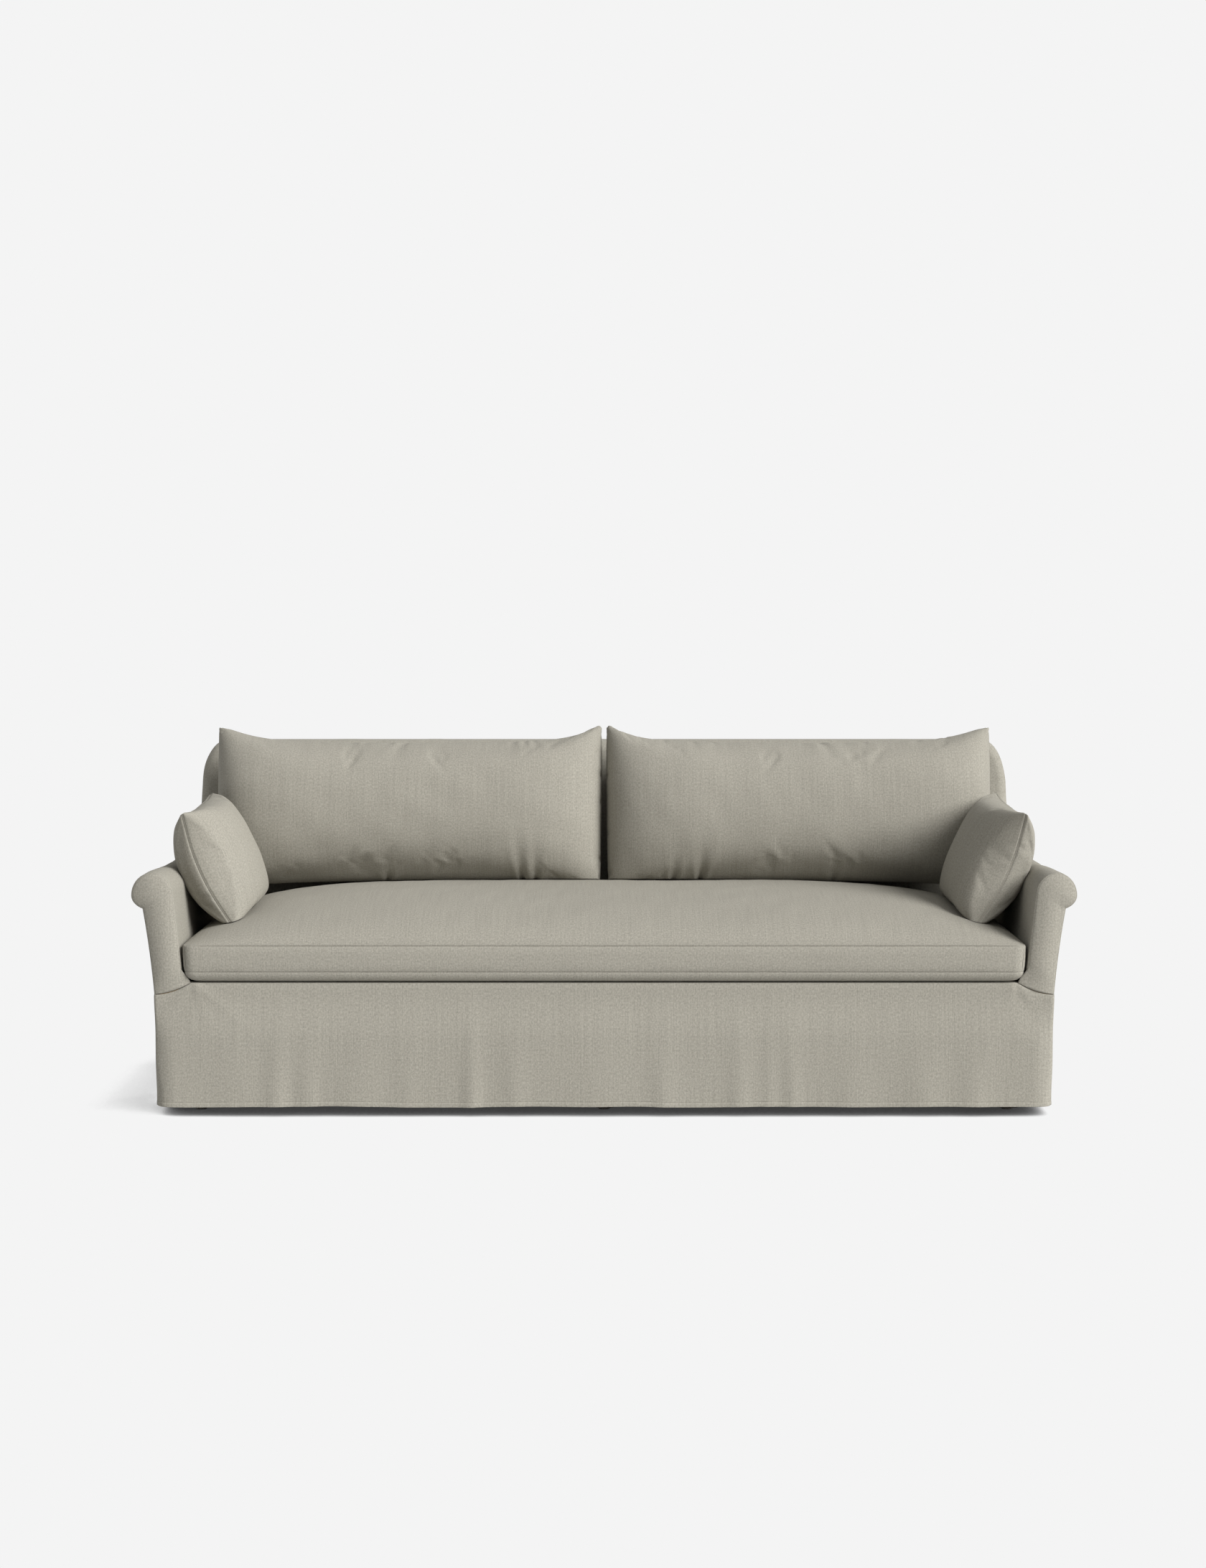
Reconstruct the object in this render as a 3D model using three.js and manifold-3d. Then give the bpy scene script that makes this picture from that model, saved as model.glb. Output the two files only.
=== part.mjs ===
// A slipcovered sofa with rolled arms: one bench seat cushion, two loose back cushions, two lumbar pillows.
// Millimetres. X runs across the sofa, Y from its front to its back, Z up. The left side is at -X.
import * as THREE from 'three';
import { mergeVertices } from 'three/addons/utils/BufferGeometryUtils.js';
import Module from 'manifold-3d';

const wasm = await Module();
wasm.setup();

// Driving dimensions of the whole sofa
const overallWidth = 2337;
const coverDepth = 843;
const backHeight = 890;
const backThickness = 118;
const rakeAngle = THREE.MathUtils.degToRad(9);
const skirtTop = 302;
const skirtClearance = 25;
const deckRise = 31;
const deckHeight = skirtTop + deckRise;

// Running gap between pieces that touch, and how far cutters reach past what they cut
const gap = 0.3;
const overrun = 60;

// Arms: a wall that leans outwards and ends in a roll
const rollRadius = 52;
const rollUnder = 37;
const rollHeight = 548;
const armLean = THREE.MathUtils.degToRad(6);
const armOuterLean = THREE.MathUtils.degToRad(7.2);
const notchAngle = THREE.MathUtils.degToRad(-62);
const rollX = overallWidth / 2 - rollRadius;
const rollSegments = 14;
const coverWall = 3;
const armPad = 10;
const panelInset = 1.6;
const panelCrown = 5;
const scrollBoardThickness = 22;
const armRailHeight = 36;
const lipInset = 1.2;
const lipLength = 5;

// Base: rails, stretchers, blocks, legs and glides
const railThickness = 32;
const railBottom = 150;
const stretcherWidth = 45;
const stretcherDrop = 15;
const cornerBlockLeg = 170;
const cornerBlockHeight = 45;
const legTopWidth = 62;
const legFootWidth = 46;
const legInset = 96;
const glideRadius = 14;
const glideHeight = 6;
const dustCoverThickness = 2;
const dustCoverMargin = 14;

// Seat: springs, edge roll, deck pad and deck cover
const springCount = 10;
const springHalfWaves = 14;
const springSideMargin = 117;
const springSwing = 22;
const springFlatShare = 0.42;
const springArch = 12;
const wireRadius = 1.9;
const tieWireCount = 3;
const edgeRollDepth = 18;
const springSetback = 22;
const deckCoverThickness = 2.3;

// Back: padding, posts, top rail and shoulder stiles
const wingSetIn = 0.5;
const wingTaper = 9;
const shoulderReach = 60;
const shoulderDrop = 120;
const frontEdgeRadius = 28;
const backPad = 25;
const outsideBackThickness = 3;
const outsideBackInset = 2;
const postWidth = 38;
const postSetIn = 11;
const topRailHeight = 44;
const stileWidth = 44;
const stileClearance = 14;

// Skirt
const skirtThickness = 4;
const skirtFlare = 1;
const cuffRun = 84;
const cuffDrop = 2;
const rippleDepth = 3.2;
const ripplePower = 1.5;
const skirtGrids = { front: [64, 3], back: [36, 3], side: [22, 3] };
const cuffClearance = 1.6;

// Bench seat cushion
const seatFront = -6;
const seatSideClearance = 2.5;
const seatFlareWidth = 4;
const seatUnderBulge = 29;
const seatBoxing = 64.5;
const seatCrown = 106;
const seatRidge = 450;
const seatBoxingBulge = 8;
const seatEndPowers = [7, 0.75];
const seatFrontPower = 2.5;
const seatRearPower = 4;
const seatGrid = [26, 12, 3];
const seatBackClearance = 1;

// Back cushions, each knife-edged, in its own leaning plane
const backCushionHalfGap = 3;
const backCushionSideClearance = 17;
const backCushionHeight = 453;
const backCushionSink = 42;
const backCushionThickness = 262;
const backCushionSag = 32;
const backCushionSagPower = 0.5;
const backCushionSidePull = 6;
const backCushionFill = 0.4;
const backCushionLean = THREE.MathUtils.degToRad(10);

// Lumbar pillows, each knife-edged, leaning on the arm's roll
const pillowLength = 458;
const pillowHeight = 318;
const pillowThickness = 177;
const pillowInnerShare = 0.61;
const pillowEndPull = 30;
const pillowTopPull = 8;
const pillowBow = 29;
const pillowFill = 0.44;
const pillowLean = THREE.MathUtils.degToRad(23.35);
const pillowRoll = THREE.MathUtils.degToRad(2.8);
const pillowYaw = THREE.MathUtils.degToRad(2);
const pillowRearClearance = 71;
const pillowFootRise = 40;
const pillowFromArm = 126;
const seamHalfThickness = 1.5;
const backCushionGrid = [16, 10];
const pillowGrid = [14, 10];

const linen = new THREE.MeshStandardMaterial({ color: 0xaeaa9c, roughness: 0.95, metalness: 0 });
const hardwood = new THREE.MeshStandardMaterial({ color: 0xb28b5c, roughness: 0.7, metalness: 0 });
const wadding = new THREE.MeshStandardMaterial({ color: 0xe6e2d6, roughness: 1, metalness: 0 });
const springSteel = new THREE.MeshStandardMaterial({ color: 0x6c6c6a, roughness: 0.4, metalness: 1 });
const cambric = new THREE.MeshStandardMaterial({ color: 0x2b2b2b, roughness: 1, metalness: 0 });
const nylon = new THREE.MeshStandardMaterial({ color: 0x8a8478, roughness: 0.5, metalness: 0 });

const sofa = new THREE.Group();
const sides = { left: -1, right: 1 };

function place(name, geometry, material) {
  const mesh = new THREE.Mesh(geometry, material);
  mesh.name = name;
  sofa.add(mesh);
  return mesh;
}

function lerp(a, b, t) {
  return a + (b - a) * t;
}

// Height on the raked planes of the back, and the depth of the rear plane there
function rakeAt(z) {
  return (z - skirtTop) * Math.tan(rakeAngle);
}

function rearAt(z) {
  return coverDepth + rakeAt(z);
}

function insideBackAt(z) {
  return rearAt(z) - backThickness;
}

// Solids for cuts and joins
function toSolid(geometry) {
  const bare = geometry.clone();
  bare.deleteAttribute('normal');
  bare.deleteAttribute('uv');
  const merged = mergeVertices(bare);
  const mesh = new wasm.Mesh({
    numProp: 3,
    vertProperties: new Float32Array(merged.attributes.position.array),
    triVerts: new Uint32Array(merged.index.array),
  });
  return new wasm.Manifold(mesh);
}

function toGeometry(solid) {
  const mesh = solid.getMesh();
  const geometry = new THREE.BufferGeometry();
  geometry.setAttribute('position', new THREE.BufferAttribute(mesh.vertProperties, 3));
  geometry.setIndex(new THREE.BufferAttribute(mesh.triVerts, 1));
  geometry.computeVertexNormals();
  return geometry;
}

// A box between two corners
function boxBetween(low, high) {
  const size = high.map((value, i) => value - low[i]);
  const box = new THREE.BoxGeometry(...size);
  box.translate(...high.map((value, i) => (value + low[i]) / 2));
  return box;
}

// Moves every vertex of a geometry with a function of its old place
function reshape(geometry, move) {
  const points = geometry.attributes.position;
  for (let i = 0; i < points.count; i++) {
    const place = move(new THREE.Vector3().fromBufferAttribute(points, i));
    points.setXYZ(i, place.x, place.y, place.z);
  }
  return geometry;
}

// A solid through rings of equal count that follow each other along Y, each ring one closed outline
function loft(rings) {
  const flat = rings[0].map((p) => new THREE.Vector2(p.x, p.z));
  const ordered = THREE.ShapeUtils.isClockWise(flat) ? rings.map((ring) => [...ring].reverse()) : rings;
  const count = flat.length;
  const index = [];
  for (let r = 0; r < ordered.length - 1; r++) {
    for (let i = 0; i < count; i++) {
      const a = r * count + i;
      const b = r * count + ((i + 1) % count);
      index.push(a, b + count, b, a, a + count, b + count);
    }
  }
  const outline = ordered[0].map((p) => new THREE.Vector2(p.x, p.z));
  const cap = THREE.ShapeUtils.triangulateShape(outline, []);
  const last = (ordered.length - 1) * count;
  for (const [a, b, c] of cap) {
    index.push(a, b, c);
    index.push(last + a, last + c, last + b);
  }
  const positions = ordered.flat().flatMap((p) => [p.x, p.y, p.z]);
  const geometry = new THREE.BufferGeometry();
  geometry.setAttribute('position', new THREE.Float32BufferAttribute(positions, 3));
  geometry.setIndex(index);
  geometry.computeVertexNormals();
  return geometry;
}

// Faces of the right arm's wall at a height, set inwards from the cover's outer surface
function armInnerAt(z, inset) {
  return rollX - (rollRadius - inset) / Math.cos(armLean) + (z - rollHeight) * Math.tan(armLean);
}

const notchX = rollX + rollRadius * Math.cos(notchAngle);
const notchHeight = rollHeight + rollUnder * Math.sin(notchAngle);

function armOuterAt(z, inset) {
  return notchX - inset / Math.cos(armOuterLean) + (z - notchHeight) * Math.tan(armOuterLean);
}

const baseWidth = 2 * armOuterAt(skirtTop, 0);

// A point of the roll, which is round above its axis and flatter below it
function rollPoint(radius, under, angle) {
  const height = Math.sin(angle) < 0 ? under : radius;
  return new THREE.Vector2(rollX + radius * Math.cos(angle), rollHeight + height * Math.sin(angle));
}

// The right arm's scroll outline, from its inner foot over the roll to its outer foot
function scrollOutline(inset, innerFoot = skirtTop, outerFoot = skirtTop) {
  const radius = rollRadius - inset;
  const under = rollUnder - inset;
  const reach = armOuterAt(rollHeight, inset) - rollX;
  const slant = under * Math.tan(armOuterLean);
  const notch = -Math.atan2(slant, radius) - Math.acos(reach / Math.hypot(radius, slant));
  const points = [new THREE.Vector2(armInnerAt(innerFoot, inset), innerFoot)];
  for (let i = 0; i <= rollSegments; i++) {
    points.push(rollPoint(radius, under, lerp(Math.PI - armLean, notch, i / rollSegments)));
  }
  points.push(new THREE.Vector2(armOuterAt(outerFoot, inset), outerFoot));
  return points;
}

// A ring of an outline on one side, at a depth that may follow the rake
function ringAt(outline, side, depthAt) {
  return outline.map((p) => new THREE.Vector3(side * p.x, depthAt(p.y), p.y));
}

function fromFront(distance) {
  return () => distance;
}

function fromRear(distance) {
  return (z) => rearAt(z) - distance;
}

// The section of an arm's skin: outer outline forwards, inner outline backwards, open at the foot
function skinSection(inset, wall) {
  return [...scrollOutline(inset), ...scrollOutline(inset + wall).reverse()];
}

// Cover of one arm, rounded in to the panel's seam at both ends
const lipShares = [[0, 1], [0.19, 0.44], [0.56, 0.1], [1, 0]];

function armCover(side) {
  const front = lipShares.map(([along, inward]) => {
    return ringAt(skinSection(inward * lipInset, coverWall), side, fromFront(along * lipLength));
  });
  const rear = [...lipShares].reverse().map(([along, inward]) => {
    return ringAt(skinSection(inward * lipInset, coverWall), side, fromRear(along * lipLength));
  });
  return loft([...front, ...rear]);
}

function armPadding(side) {
  const section = skinSection(coverWall + gap, armPad);
  return loft([
    ringAt(section, side, fromFront(lipLength)),
    ringAt(section, side, fromRear(lipLength)),
  ]);
}

// Height of the seam where the skirt's cuff curves up from the arm's outer foot to the deck
function cuffSeam(x) {
  const t = THREE.MathUtils.clamp((baseWidth / 2 - Math.abs(x)) / cuffRun, 0, 1);
  return lerp(skirtTop, deckHeight - cuffDrop, t ** 2);
}

// Front panel of one arm: the scroll outline with the cuff's curve for its foot, and a low crown
const panelFootShares = [0.25, 0.5, 0.75];
const panelCrownShares = [[1, 2.4], [0.8, 1.2], [0.3, 0.2]];

function armPanel(side) {
  const outlineAt = (inset) => {
    const rise = inset - panelInset + cuffClearance;
    const innerFoot = cuffSeam(armInnerAt(skirtTop, inset)) + rise;
    const outerFoot = cuffSeam(armOuterAt(skirtTop, inset)) + rise;
    const outline = scrollOutline(inset, innerFoot, outerFoot);
    const outerX = armOuterAt(outerFoot, inset);
    const innerX = armInnerAt(innerFoot, inset);
    const foot = panelFootShares.map((share) => {
      const x = lerp(outerX, innerX, share);
      return new THREE.Vector2(x, cuffSeam(x) + rise);
    });
    return [...outline, ...foot];
  };
  const crown = panelCrownShares.map(([out, inward]) => {
    return ringAt(outlineAt(panelInset + inward * panelCrown), side, fromFront(-gap - out * panelCrown));
  });
  return loft([...crown, ringAt(outlineAt(panelInset), side, fromFront(-gap))]);
}

// Wooden parts of one arm
const boardInset = coverWall + armPad + 2 * gap;
const boardFront = gap;
const coreEnd = boardFront + scrollBoardThickness + gap;

function scrollBoard(side, nearDepth, farDepth) {
  const outline = scrollOutline(boardInset);
  return loft([ringAt(outline, side, nearDepth), ringAt(outline, side, farDepth)]);
}

function rollCore(side) {
  const inset = boardInset + gap;
  const section = Array.from({ length: rollSegments + 2 }, (_, i) => {
    const angle = 2 * Math.PI * (i + 0.5) / (rollSegments + 2);
    return rollPoint(rollRadius - inset, rollUnder - inset, angle);
  });
  return loft([ringAt(section, side, fromFront(coreEnd)), ringAt(section, side, fromRear(coreEnd))]);
}

function armRail(side) {
  const top = skirtTop + armRailHeight;
  const inset = boardInset + gap;
  const section = [
    new THREE.Vector2(armInnerAt(skirtTop, inset), skirtTop),
    new THREE.Vector2(armInnerAt(top, inset), top),
    new THREE.Vector2(armOuterAt(top, inset), top),
    new THREE.Vector2(armOuterAt(skirtTop, inset), skirtTop),
  ];
  return loft([ringAt(section, side, fromFront(coreEnd)), ringAt(section, side, fromRear(coreEnd))]);
}

for (const [name, side] of Object.entries(sides)) {
  place(`arm_cover_${name}`, armCover(side), linen);
  place(`arm_front_panel_${name}`, armPanel(side), linen);
  place(`arm_padding_${name}`, armPadding(side), wadding);
  const boardBack = boardFront + scrollBoardThickness;
  place(`arm_scroll_board_front_${name}`, scrollBoard(side, fromFront(boardFront), fromFront(boardBack)), hardwood);
  place(`arm_scroll_board_back_${name}`, scrollBoard(side, fromRear(boardBack), fromRear(boardFront)), hardwood);
  place(`arm_roll_core_${name}`, rollCore(side), hardwood);
  place(`arm_bottom_rail_${name}`, armRail(side), hardwood);
}

// Space that an arm takes, with the running gap round it, to cut what lies against it
function armEnvelope(side) {
  const outline = scrollOutline(-gap);
  const reach = coverDepth + backThickness + overrun;
  return toSolid(loft([ringAt(outline, side, fromFront(-overrun)), ringAt(outline, side, fromFront(reach))]));
}

const armEnvelopes = Object.values(sides).map(armEnvelope);

// Outline of the back, set inwards: its foot stands inside the arms' walls, its shoulders are rounded
const footMargin = 10;
const wingWidth = 2 * (rollX - wingSetIn);

function backOutline(inset) {
  const half = wingWidth / 2 - inset;
  const top = backHeight - inset;
  const reach = shoulderReach - inset;
  const drop = shoulderDrop - inset;
  const cornerX = half - wingTaper - reach;
  const cornerZ = top - drop;
  const foot = skirtTop - overrun;
  const halfFoot = armOuterAt(skirtTop, footMargin + inset);
  const outline = new THREE.Shape();
  outline.moveTo(-halfFoot, foot);
  outline.lineTo(halfFoot, foot);
  outline.lineTo(halfFoot, skirtTop);
  outline.lineTo(half, rollHeight);
  outline.lineTo(half - wingTaper, cornerZ);
  outline.absellipse(cornerX, cornerZ, reach, drop, 0, Math.PI / 2);
  outline.absellipse(-cornerX, cornerZ, reach, drop, Math.PI / 2, Math.PI);
  outline.lineTo(-half, rollHeight);
  outline.lineTo(-halfFoot, skirtTop);
  outline.closePath();
  return outline;
}

// The upholstered form of the back, set inwards: rounded shoulders, rounded front edge, raked faces
function backForm(inset) {
  const round = Math.max(frontEdgeRadius - inset, gap);
  const depth = backThickness + overrun - round;
  const form = new THREE.ExtrudeGeometry(backOutline(inset), {
    depth,
    bevelThickness: round,
    bevelSize: round,
    bevelOffset: -round,
    bevelSegments: 3,
    curveSegments: 7,
  });
  return toSolid(reshape(form, (p) => {
    return new THREE.Vector3(p.x, insideBackAt(p.y) + inset + depth + round - p.z, p.y);
  }));
}

// A slab of the raked back between two distances in front of its rear plane and two heights
function rakedSlab(xLow, xHigh, nearRear, farRear, zLow, zHigh) {
  const slab = boxBetween([xLow, -nearRear, zLow], [xHigh, -farRear, zHigh]);
  return reshape(slab, (p) => new THREE.Vector3(p.x, rearAt(p.z) + p.y, p.z));
}

// A skin of the back between two insets: open at the rear and the foot, and cut round the arms
const backFoot = deckHeight - deckCoverThickness - armPad;
const halfSpan = overallWidth / 2 + overrun;

function backSkin(inset, wall) {
  const keep = rakedSlab(-halfSpan, halfSpan, backThickness + overrun, 0, backFoot, backHeight + overrun);
  const skin = backForm(inset).subtract(backForm(inset + wall)).intersect(toSolid(keep));
  return armEnvelopes.reduce((rest, arm) => rest.subtract(arm), skin);
}

place('back_cover', toGeometry(backSkin(0, coverWall)), linen);
place('back_padding', toGeometry(backSkin(coverWall + gap, backPad)), wadding);

// Outside back: one panel with the outline of the back and of both arms' rear ends
function outsideBack() {
  const sheet = rakedSlab(
    -halfSpan, halfSpan, -gap, -gap - outsideBackThickness, skirtTop, backHeight + overrun,
  );
  const reach = coverDepth + 2 * backThickness + overrun;
  const scrolls = Object.values(sides).map((side) => {
    const outline = scrollOutline(outsideBackInset);
    return toSolid(loft([ringAt(outline, side, fromFront(0)), ringAt(outline, side, fromFront(reach))]));
  });
  const form = new THREE.ExtrudeGeometry(backOutline(outsideBackInset), {
    depth: reach,
    bevelEnabled: false,
    curveSegments: 7,
  });
  form.rotateX(Math.PI / 2);
  form.translate(0, reach, 0);
  const outline = scrolls.reduce((sum, scroll) => sum.add(scroll), toSolid(form));
  return toGeometry(outline.intersect(toSolid(sheet)));
}

place('outside_back_panel', outsideBack(), linen);

// Wooden frame of the back
const frameInset = coverWall + backPad + 2 * gap;
const topRailTop = backHeight - frameInset - gap;
const topRailFoot = topRailTop - topRailHeight;
const postFront = backThickness - frameInset;
const postRear = gap;

function framePiece(xLow, xHigh, zLow, zHigh) {
  const block = rakedSlab(xLow, xHigh, backThickness + overrun, postRear, zLow, zHigh);
  return toGeometry(backForm(frameInset).intersect(toSolid(block)));
}

place('back_top_rail', framePiece(-halfSpan, halfSpan, topRailFoot, topRailTop), hardwood);
const postX = armInnerAt(skirtTop, 0) - postSetIn - postWidth / 2;
for (const [name, x] of Object.entries({ left: -postX, centre: 0, right: postX })) {
  const post = rakedSlab(x - postWidth / 2, x + postWidth / 2, postFront, postRear, skirtTop, topRailFoot - gap);
  place(`back_post_${name}`, post, hardwood);
}
for (const [name, side] of Object.entries(sides)) {
  const outer = side * halfSpan;
  const inner = side * (wingWidth / 2 - frameInset - stileWidth);
  const low = rollHeight + rollRadius + stileClearance;
  const stile = framePiece(Math.min(inner, outer), Math.max(inner, outer), low, topRailFoot - gap);
  place(`back_stile_${name}`, stile, hardwood);
}

// Base rails
const railTop = skirtTop - gap;
const railOuterX = baseWidth / 2 - skirtThickness - gap;
const railFront = gap;
const railRear = coverDepth + outsideBackThickness - skirtThickness;
const railInnerX = railOuterX - railThickness;
const innerFront = railFront + railThickness;
const innerRear = railRear - railThickness;

place('front_rail', boxBetween(
  [gap - railInnerX, railFront, railBottom], [railInnerX - gap, innerFront, railTop],
), hardwood);
place('back_rail', boxBetween(
  [gap - railInnerX, innerRear, railBottom], [railInnerX - gap, railRear, railTop],
), hardwood);
for (const [name, side] of Object.entries(sides)) {
  const rail = boxBetween([-railThickness / 2, railFront, railBottom], [railThickness / 2, railRear, railTop]);
  rail.translate(side * (railOuterX - railThickness / 2), 0, 0);
  place(`side_rail_${name}`, rail, hardwood);
}
place('seat_stretcher', boxBetween(
  [-stretcherWidth / 2, innerFront + gap, railBottom],
  [stretcherWidth / 2, innerRear - gap, railTop - stretcherDrop],
), hardwood);

// Triangular blocks in the four corners of the base, level with the rails' feet, to take the legs
function cornerBlock(side, y, inward) {
  const x = side * (railInnerX - gap);
  const triangle = new THREE.Shape([
    new THREE.Vector2(x, y),
    new THREE.Vector2(x - side * cornerBlockLeg, y),
    new THREE.Vector2(x, y + inward * cornerBlockLeg),
  ]);
  const block = new THREE.ExtrudeGeometry(triangle, { depth: cornerBlockHeight, bevelEnabled: false });
  block.translate(0, 0, railBottom);
  return block;
}

for (const [name, side] of Object.entries(sides)) {
  place(`corner_block_front_${name}`, cornerBlock(side, innerFront + gap, 1), hardwood);
  place(`corner_block_back_${name}`, cornerBlock(side, innerRear - gap, -1), hardwood);
}

// Dust cover under the rails
const dustTop = railBottom - gap;
const dustBottom = dustTop - dustCoverThickness;
place('dust_cover', boxBetween(
  [dustCoverMargin - railOuterX, railFront + dustCoverMargin, dustBottom],
  [railOuterX - dustCoverMargin, railRear - dustCoverMargin, dustTop],
), cambric);

// Tapered legs, each on a glide
const legTop = dustBottom - gap;
const legBottom = glideHeight + gap;

function leg(x, y) {
  const height = legTop - legBottom;
  const post = new THREE.CylinderGeometry(legTopWidth / Math.SQRT2, legFootWidth / Math.SQRT2, height, 4);
  post.rotateY(Math.PI / 4);
  post.rotateX(Math.PI / 2);
  post.translate(x, y, legBottom + height / 2);
  return post;
}

function glide(x, y) {
  const disc = new THREE.CylinderGeometry(glideRadius, glideRadius, glideHeight, 12);
  disc.rotateX(Math.PI / 2);
  disc.translate(x, y, glideHeight / 2);
  return disc;
}

const legPlacesX = { left: legInset - railOuterX, centre: 0, right: railOuterX - legInset };
const legPlacesY = { front: railFront + legInset, back: railRear - legInset };
for (const [row, y] of Object.entries(legPlacesY)) {
  for (const [column, x] of Object.entries(legPlacesX)) {
    place(`leg_${row}_${column}`, leg(x, y), hardwood);
    place(`glide_${row}_${column}`, glide(x, y), nylon);
  }
}

// Zigzag seat springs, arched from the front rail to the back rail and clipped to cross wires
const deckHalfWidth = armInnerAt(skirtTop, -gap) - gap;
const springFront = railFront + springSetback;
const springRear = railRear - springSetback;

function springHeight(y) {
  const t = (y - springFront) / (springRear - springFront);
  return skirtTop + wireRadius + 4 * springArch * t * (1 - t);
}

function zigzag(x) {
  const pitch = (springRear - springFront) / (springHalfWaves + 1);
  const points = [new THREE.Vector2(x, springFront)];
  for (let i = 0; i < springHalfWaves; i++) {
    const swing = i % 2 === 0 ? springSwing : -springSwing;
    const middle = springFront + (i + 1) * pitch;
    points.push(new THREE.Vector2(x + swing, middle - springFlatShare * pitch));
    points.push(new THREE.Vector2(x + swing, middle + springFlatShare * pitch));
  }
  points.push(new THREE.Vector2(x, springRear));
  return points;
}

// A square wire along a flat path, mitred at its bends
function wire(path) {
  const rings = path.map((point, i) => {
    const before = path[Math.max(i - 1, 0)];
    const after = path[Math.min(i + 1, path.length - 1)];
    const into = point.clone().sub(before).normalize();
    const out = after.clone().sub(point).normalize();
    const along = i === 0 || i === path.length - 1 ? new THREE.Vector2(0, 1) : into.add(out).normalize();
    const across = new THREE.Vector2(along.y, -along.x).multiplyScalar(wireRadius);
    const z = springHeight(point.y);
    const corners = [[-1, -1], [1, -1], [1, 1], [-1, 1]];
    return corners.map(([a, b]) => {
      return new THREE.Vector3(point.x + a * across.x, point.y + a * across.y, z + b * wireRadius);
    });
  });
  return loft(rings);
}

function seatSprings() {
  const firstX = springSideMargin - deckHalfWidth;
  const springSpacing = -2 * firstX / (springCount - 1);
  let springs = toSolid(wire(zigzag(firstX)));
  for (let i = 1; i < springCount; i++) {
    springs = springs.add(toSolid(wire(zigzag(firstX + i * springSpacing))));
  }
  for (let i = 1; i <= tieWireCount; i++) {
    const y = lerp(springFront, springRear, i / (tieWireCount + 1));
    const z = springHeight(y);
    const half = wireRadius * springFlatShare;
    const tie = boxBetween([firstX - springSwing, y - half, z - half], [springSwing - firstX, y + half, z + half]);
    springs = springs.add(toSolid(tie));
  }
  return toGeometry(springs);
}

place('seat_springs', seatSprings(), springSteel);

// Deck: a firm roll behind the front edge, a pad over the springs, and the cover on both
const deckUnder = deckHeight - deckCoverThickness;
const deckRear = insideBackAt(backFoot) - gap;
const padTop = deckUnder - gap;
const padFoot = skirtTop + springArch + 2 * wireRadius + gap;

function edgeRoll() {
  const rollHeightHere = padTop - skirtTop;
  const section = new THREE.Shape();
  section.moveTo(0, 0);
  section.lineTo(edgeRollDepth, 0);
  section.lineTo(edgeRollDepth, rollHeightHere);
  section.lineTo(edgeRollDepth / 2, rollHeightHere);
  section.quadraticCurveTo(0, rollHeightHere, 0, rollHeightHere - edgeRollDepth / 2);
  section.closePath();
  const roll = new THREE.ExtrudeGeometry(section, { depth: 2 * deckHalfWidth, bevelEnabled: false, curveSegments: 5 });
  return reshape(roll, (p) => new THREE.Vector3(p.z - deckHalfWidth, railFront + p.x, skirtTop + p.y));
}

place('seat_edge_roll', edgeRoll(), wadding);
place('deck_pad', boxBetween(
  [-deckHalfWidth, railFront + edgeRollDepth + gap, padFoot], [deckHalfWidth, deckRear, padTop],
), wadding);
place('deck_cover', boxBetween([-deckHalfWidth, 0, deckUnder], [deckHalfWidth, deckRear, deckHeight]), linen);

// Skirt: cloth hung from the seams in soft ripples that open towards the hem
const rippleWaves = [[190, 0.5, 0.2], [310, 0.9, 1.7], [530, 0.7, 4.1]];
const ripplePhaseShare = 0.37;

function ripple(distance, fall) {
  const sum = rippleWaves.reduce((total, [length, share, phase]) => {
    return total + share * Math.sin(2 * Math.PI * distance / length + phase);
  }, 0);
  return rippleDepth * fall ** ripplePower * (1 + ripplePhaseShare * sum);
}

// A hung panel: a grid between hem and seam, whose face moves outwards with its fall
function hungPanel(halfLength, [columns, rows], topAt, toPlace) {
  const sheet = new THREE.BoxGeometry(2, 1, 1, columns, 1, rows);
  return reshape(sheet, (p) => {
    const fall = 0.5 - p.z;
    const along = p.x * (halfLength + skirtFlare * fall);
    const z = lerp(topAt(along), skirtClearance, fall);
    const out = skirtFlare * fall + ripple(along, fall) + skirtThickness * (0.5 - p.y);
    return toPlace(along, out, z);
  });
}

const skirtSeam = () => skirtTop - gap;
const sideSkirtHalf = railRear / 2;

place('skirt_front', hungPanel(baseWidth / 2, skirtGrids.front, cuffSeam, (along, out, z) => {
  return new THREE.Vector3(along, -gap - out, z);
}), linen);
place('skirt_back', hungPanel(baseWidth / 2, skirtGrids.back, skirtSeam, (along, out, z) => {
  return new THREE.Vector3(-along, railRear + gap + out, z);
}), linen);
for (const [name, side] of Object.entries(sides)) {
  place(`skirt_side_${name}`, hungPanel(sideSkirtHalf, skirtGrids.side, skirtSeam, (along, out, z) => {
    return new THREE.Vector3(side * (railOuterX + gap + out), side * along + sideSkirtHalf, z);
  }), linen);
}

// Bench seat cushion: boxed, high-crowned, flat where it rests
const seatRear = insideBackAt(deckHeight) - seatBackClearance;
const seatHalfWidth = armInnerAt(deckHeight, 0) - seatSideClearance;
const seatSeamLow = deckHeight + seatUnderBulge;
const seatSeamHigh = seatSeamLow + seatBoxing;

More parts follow.
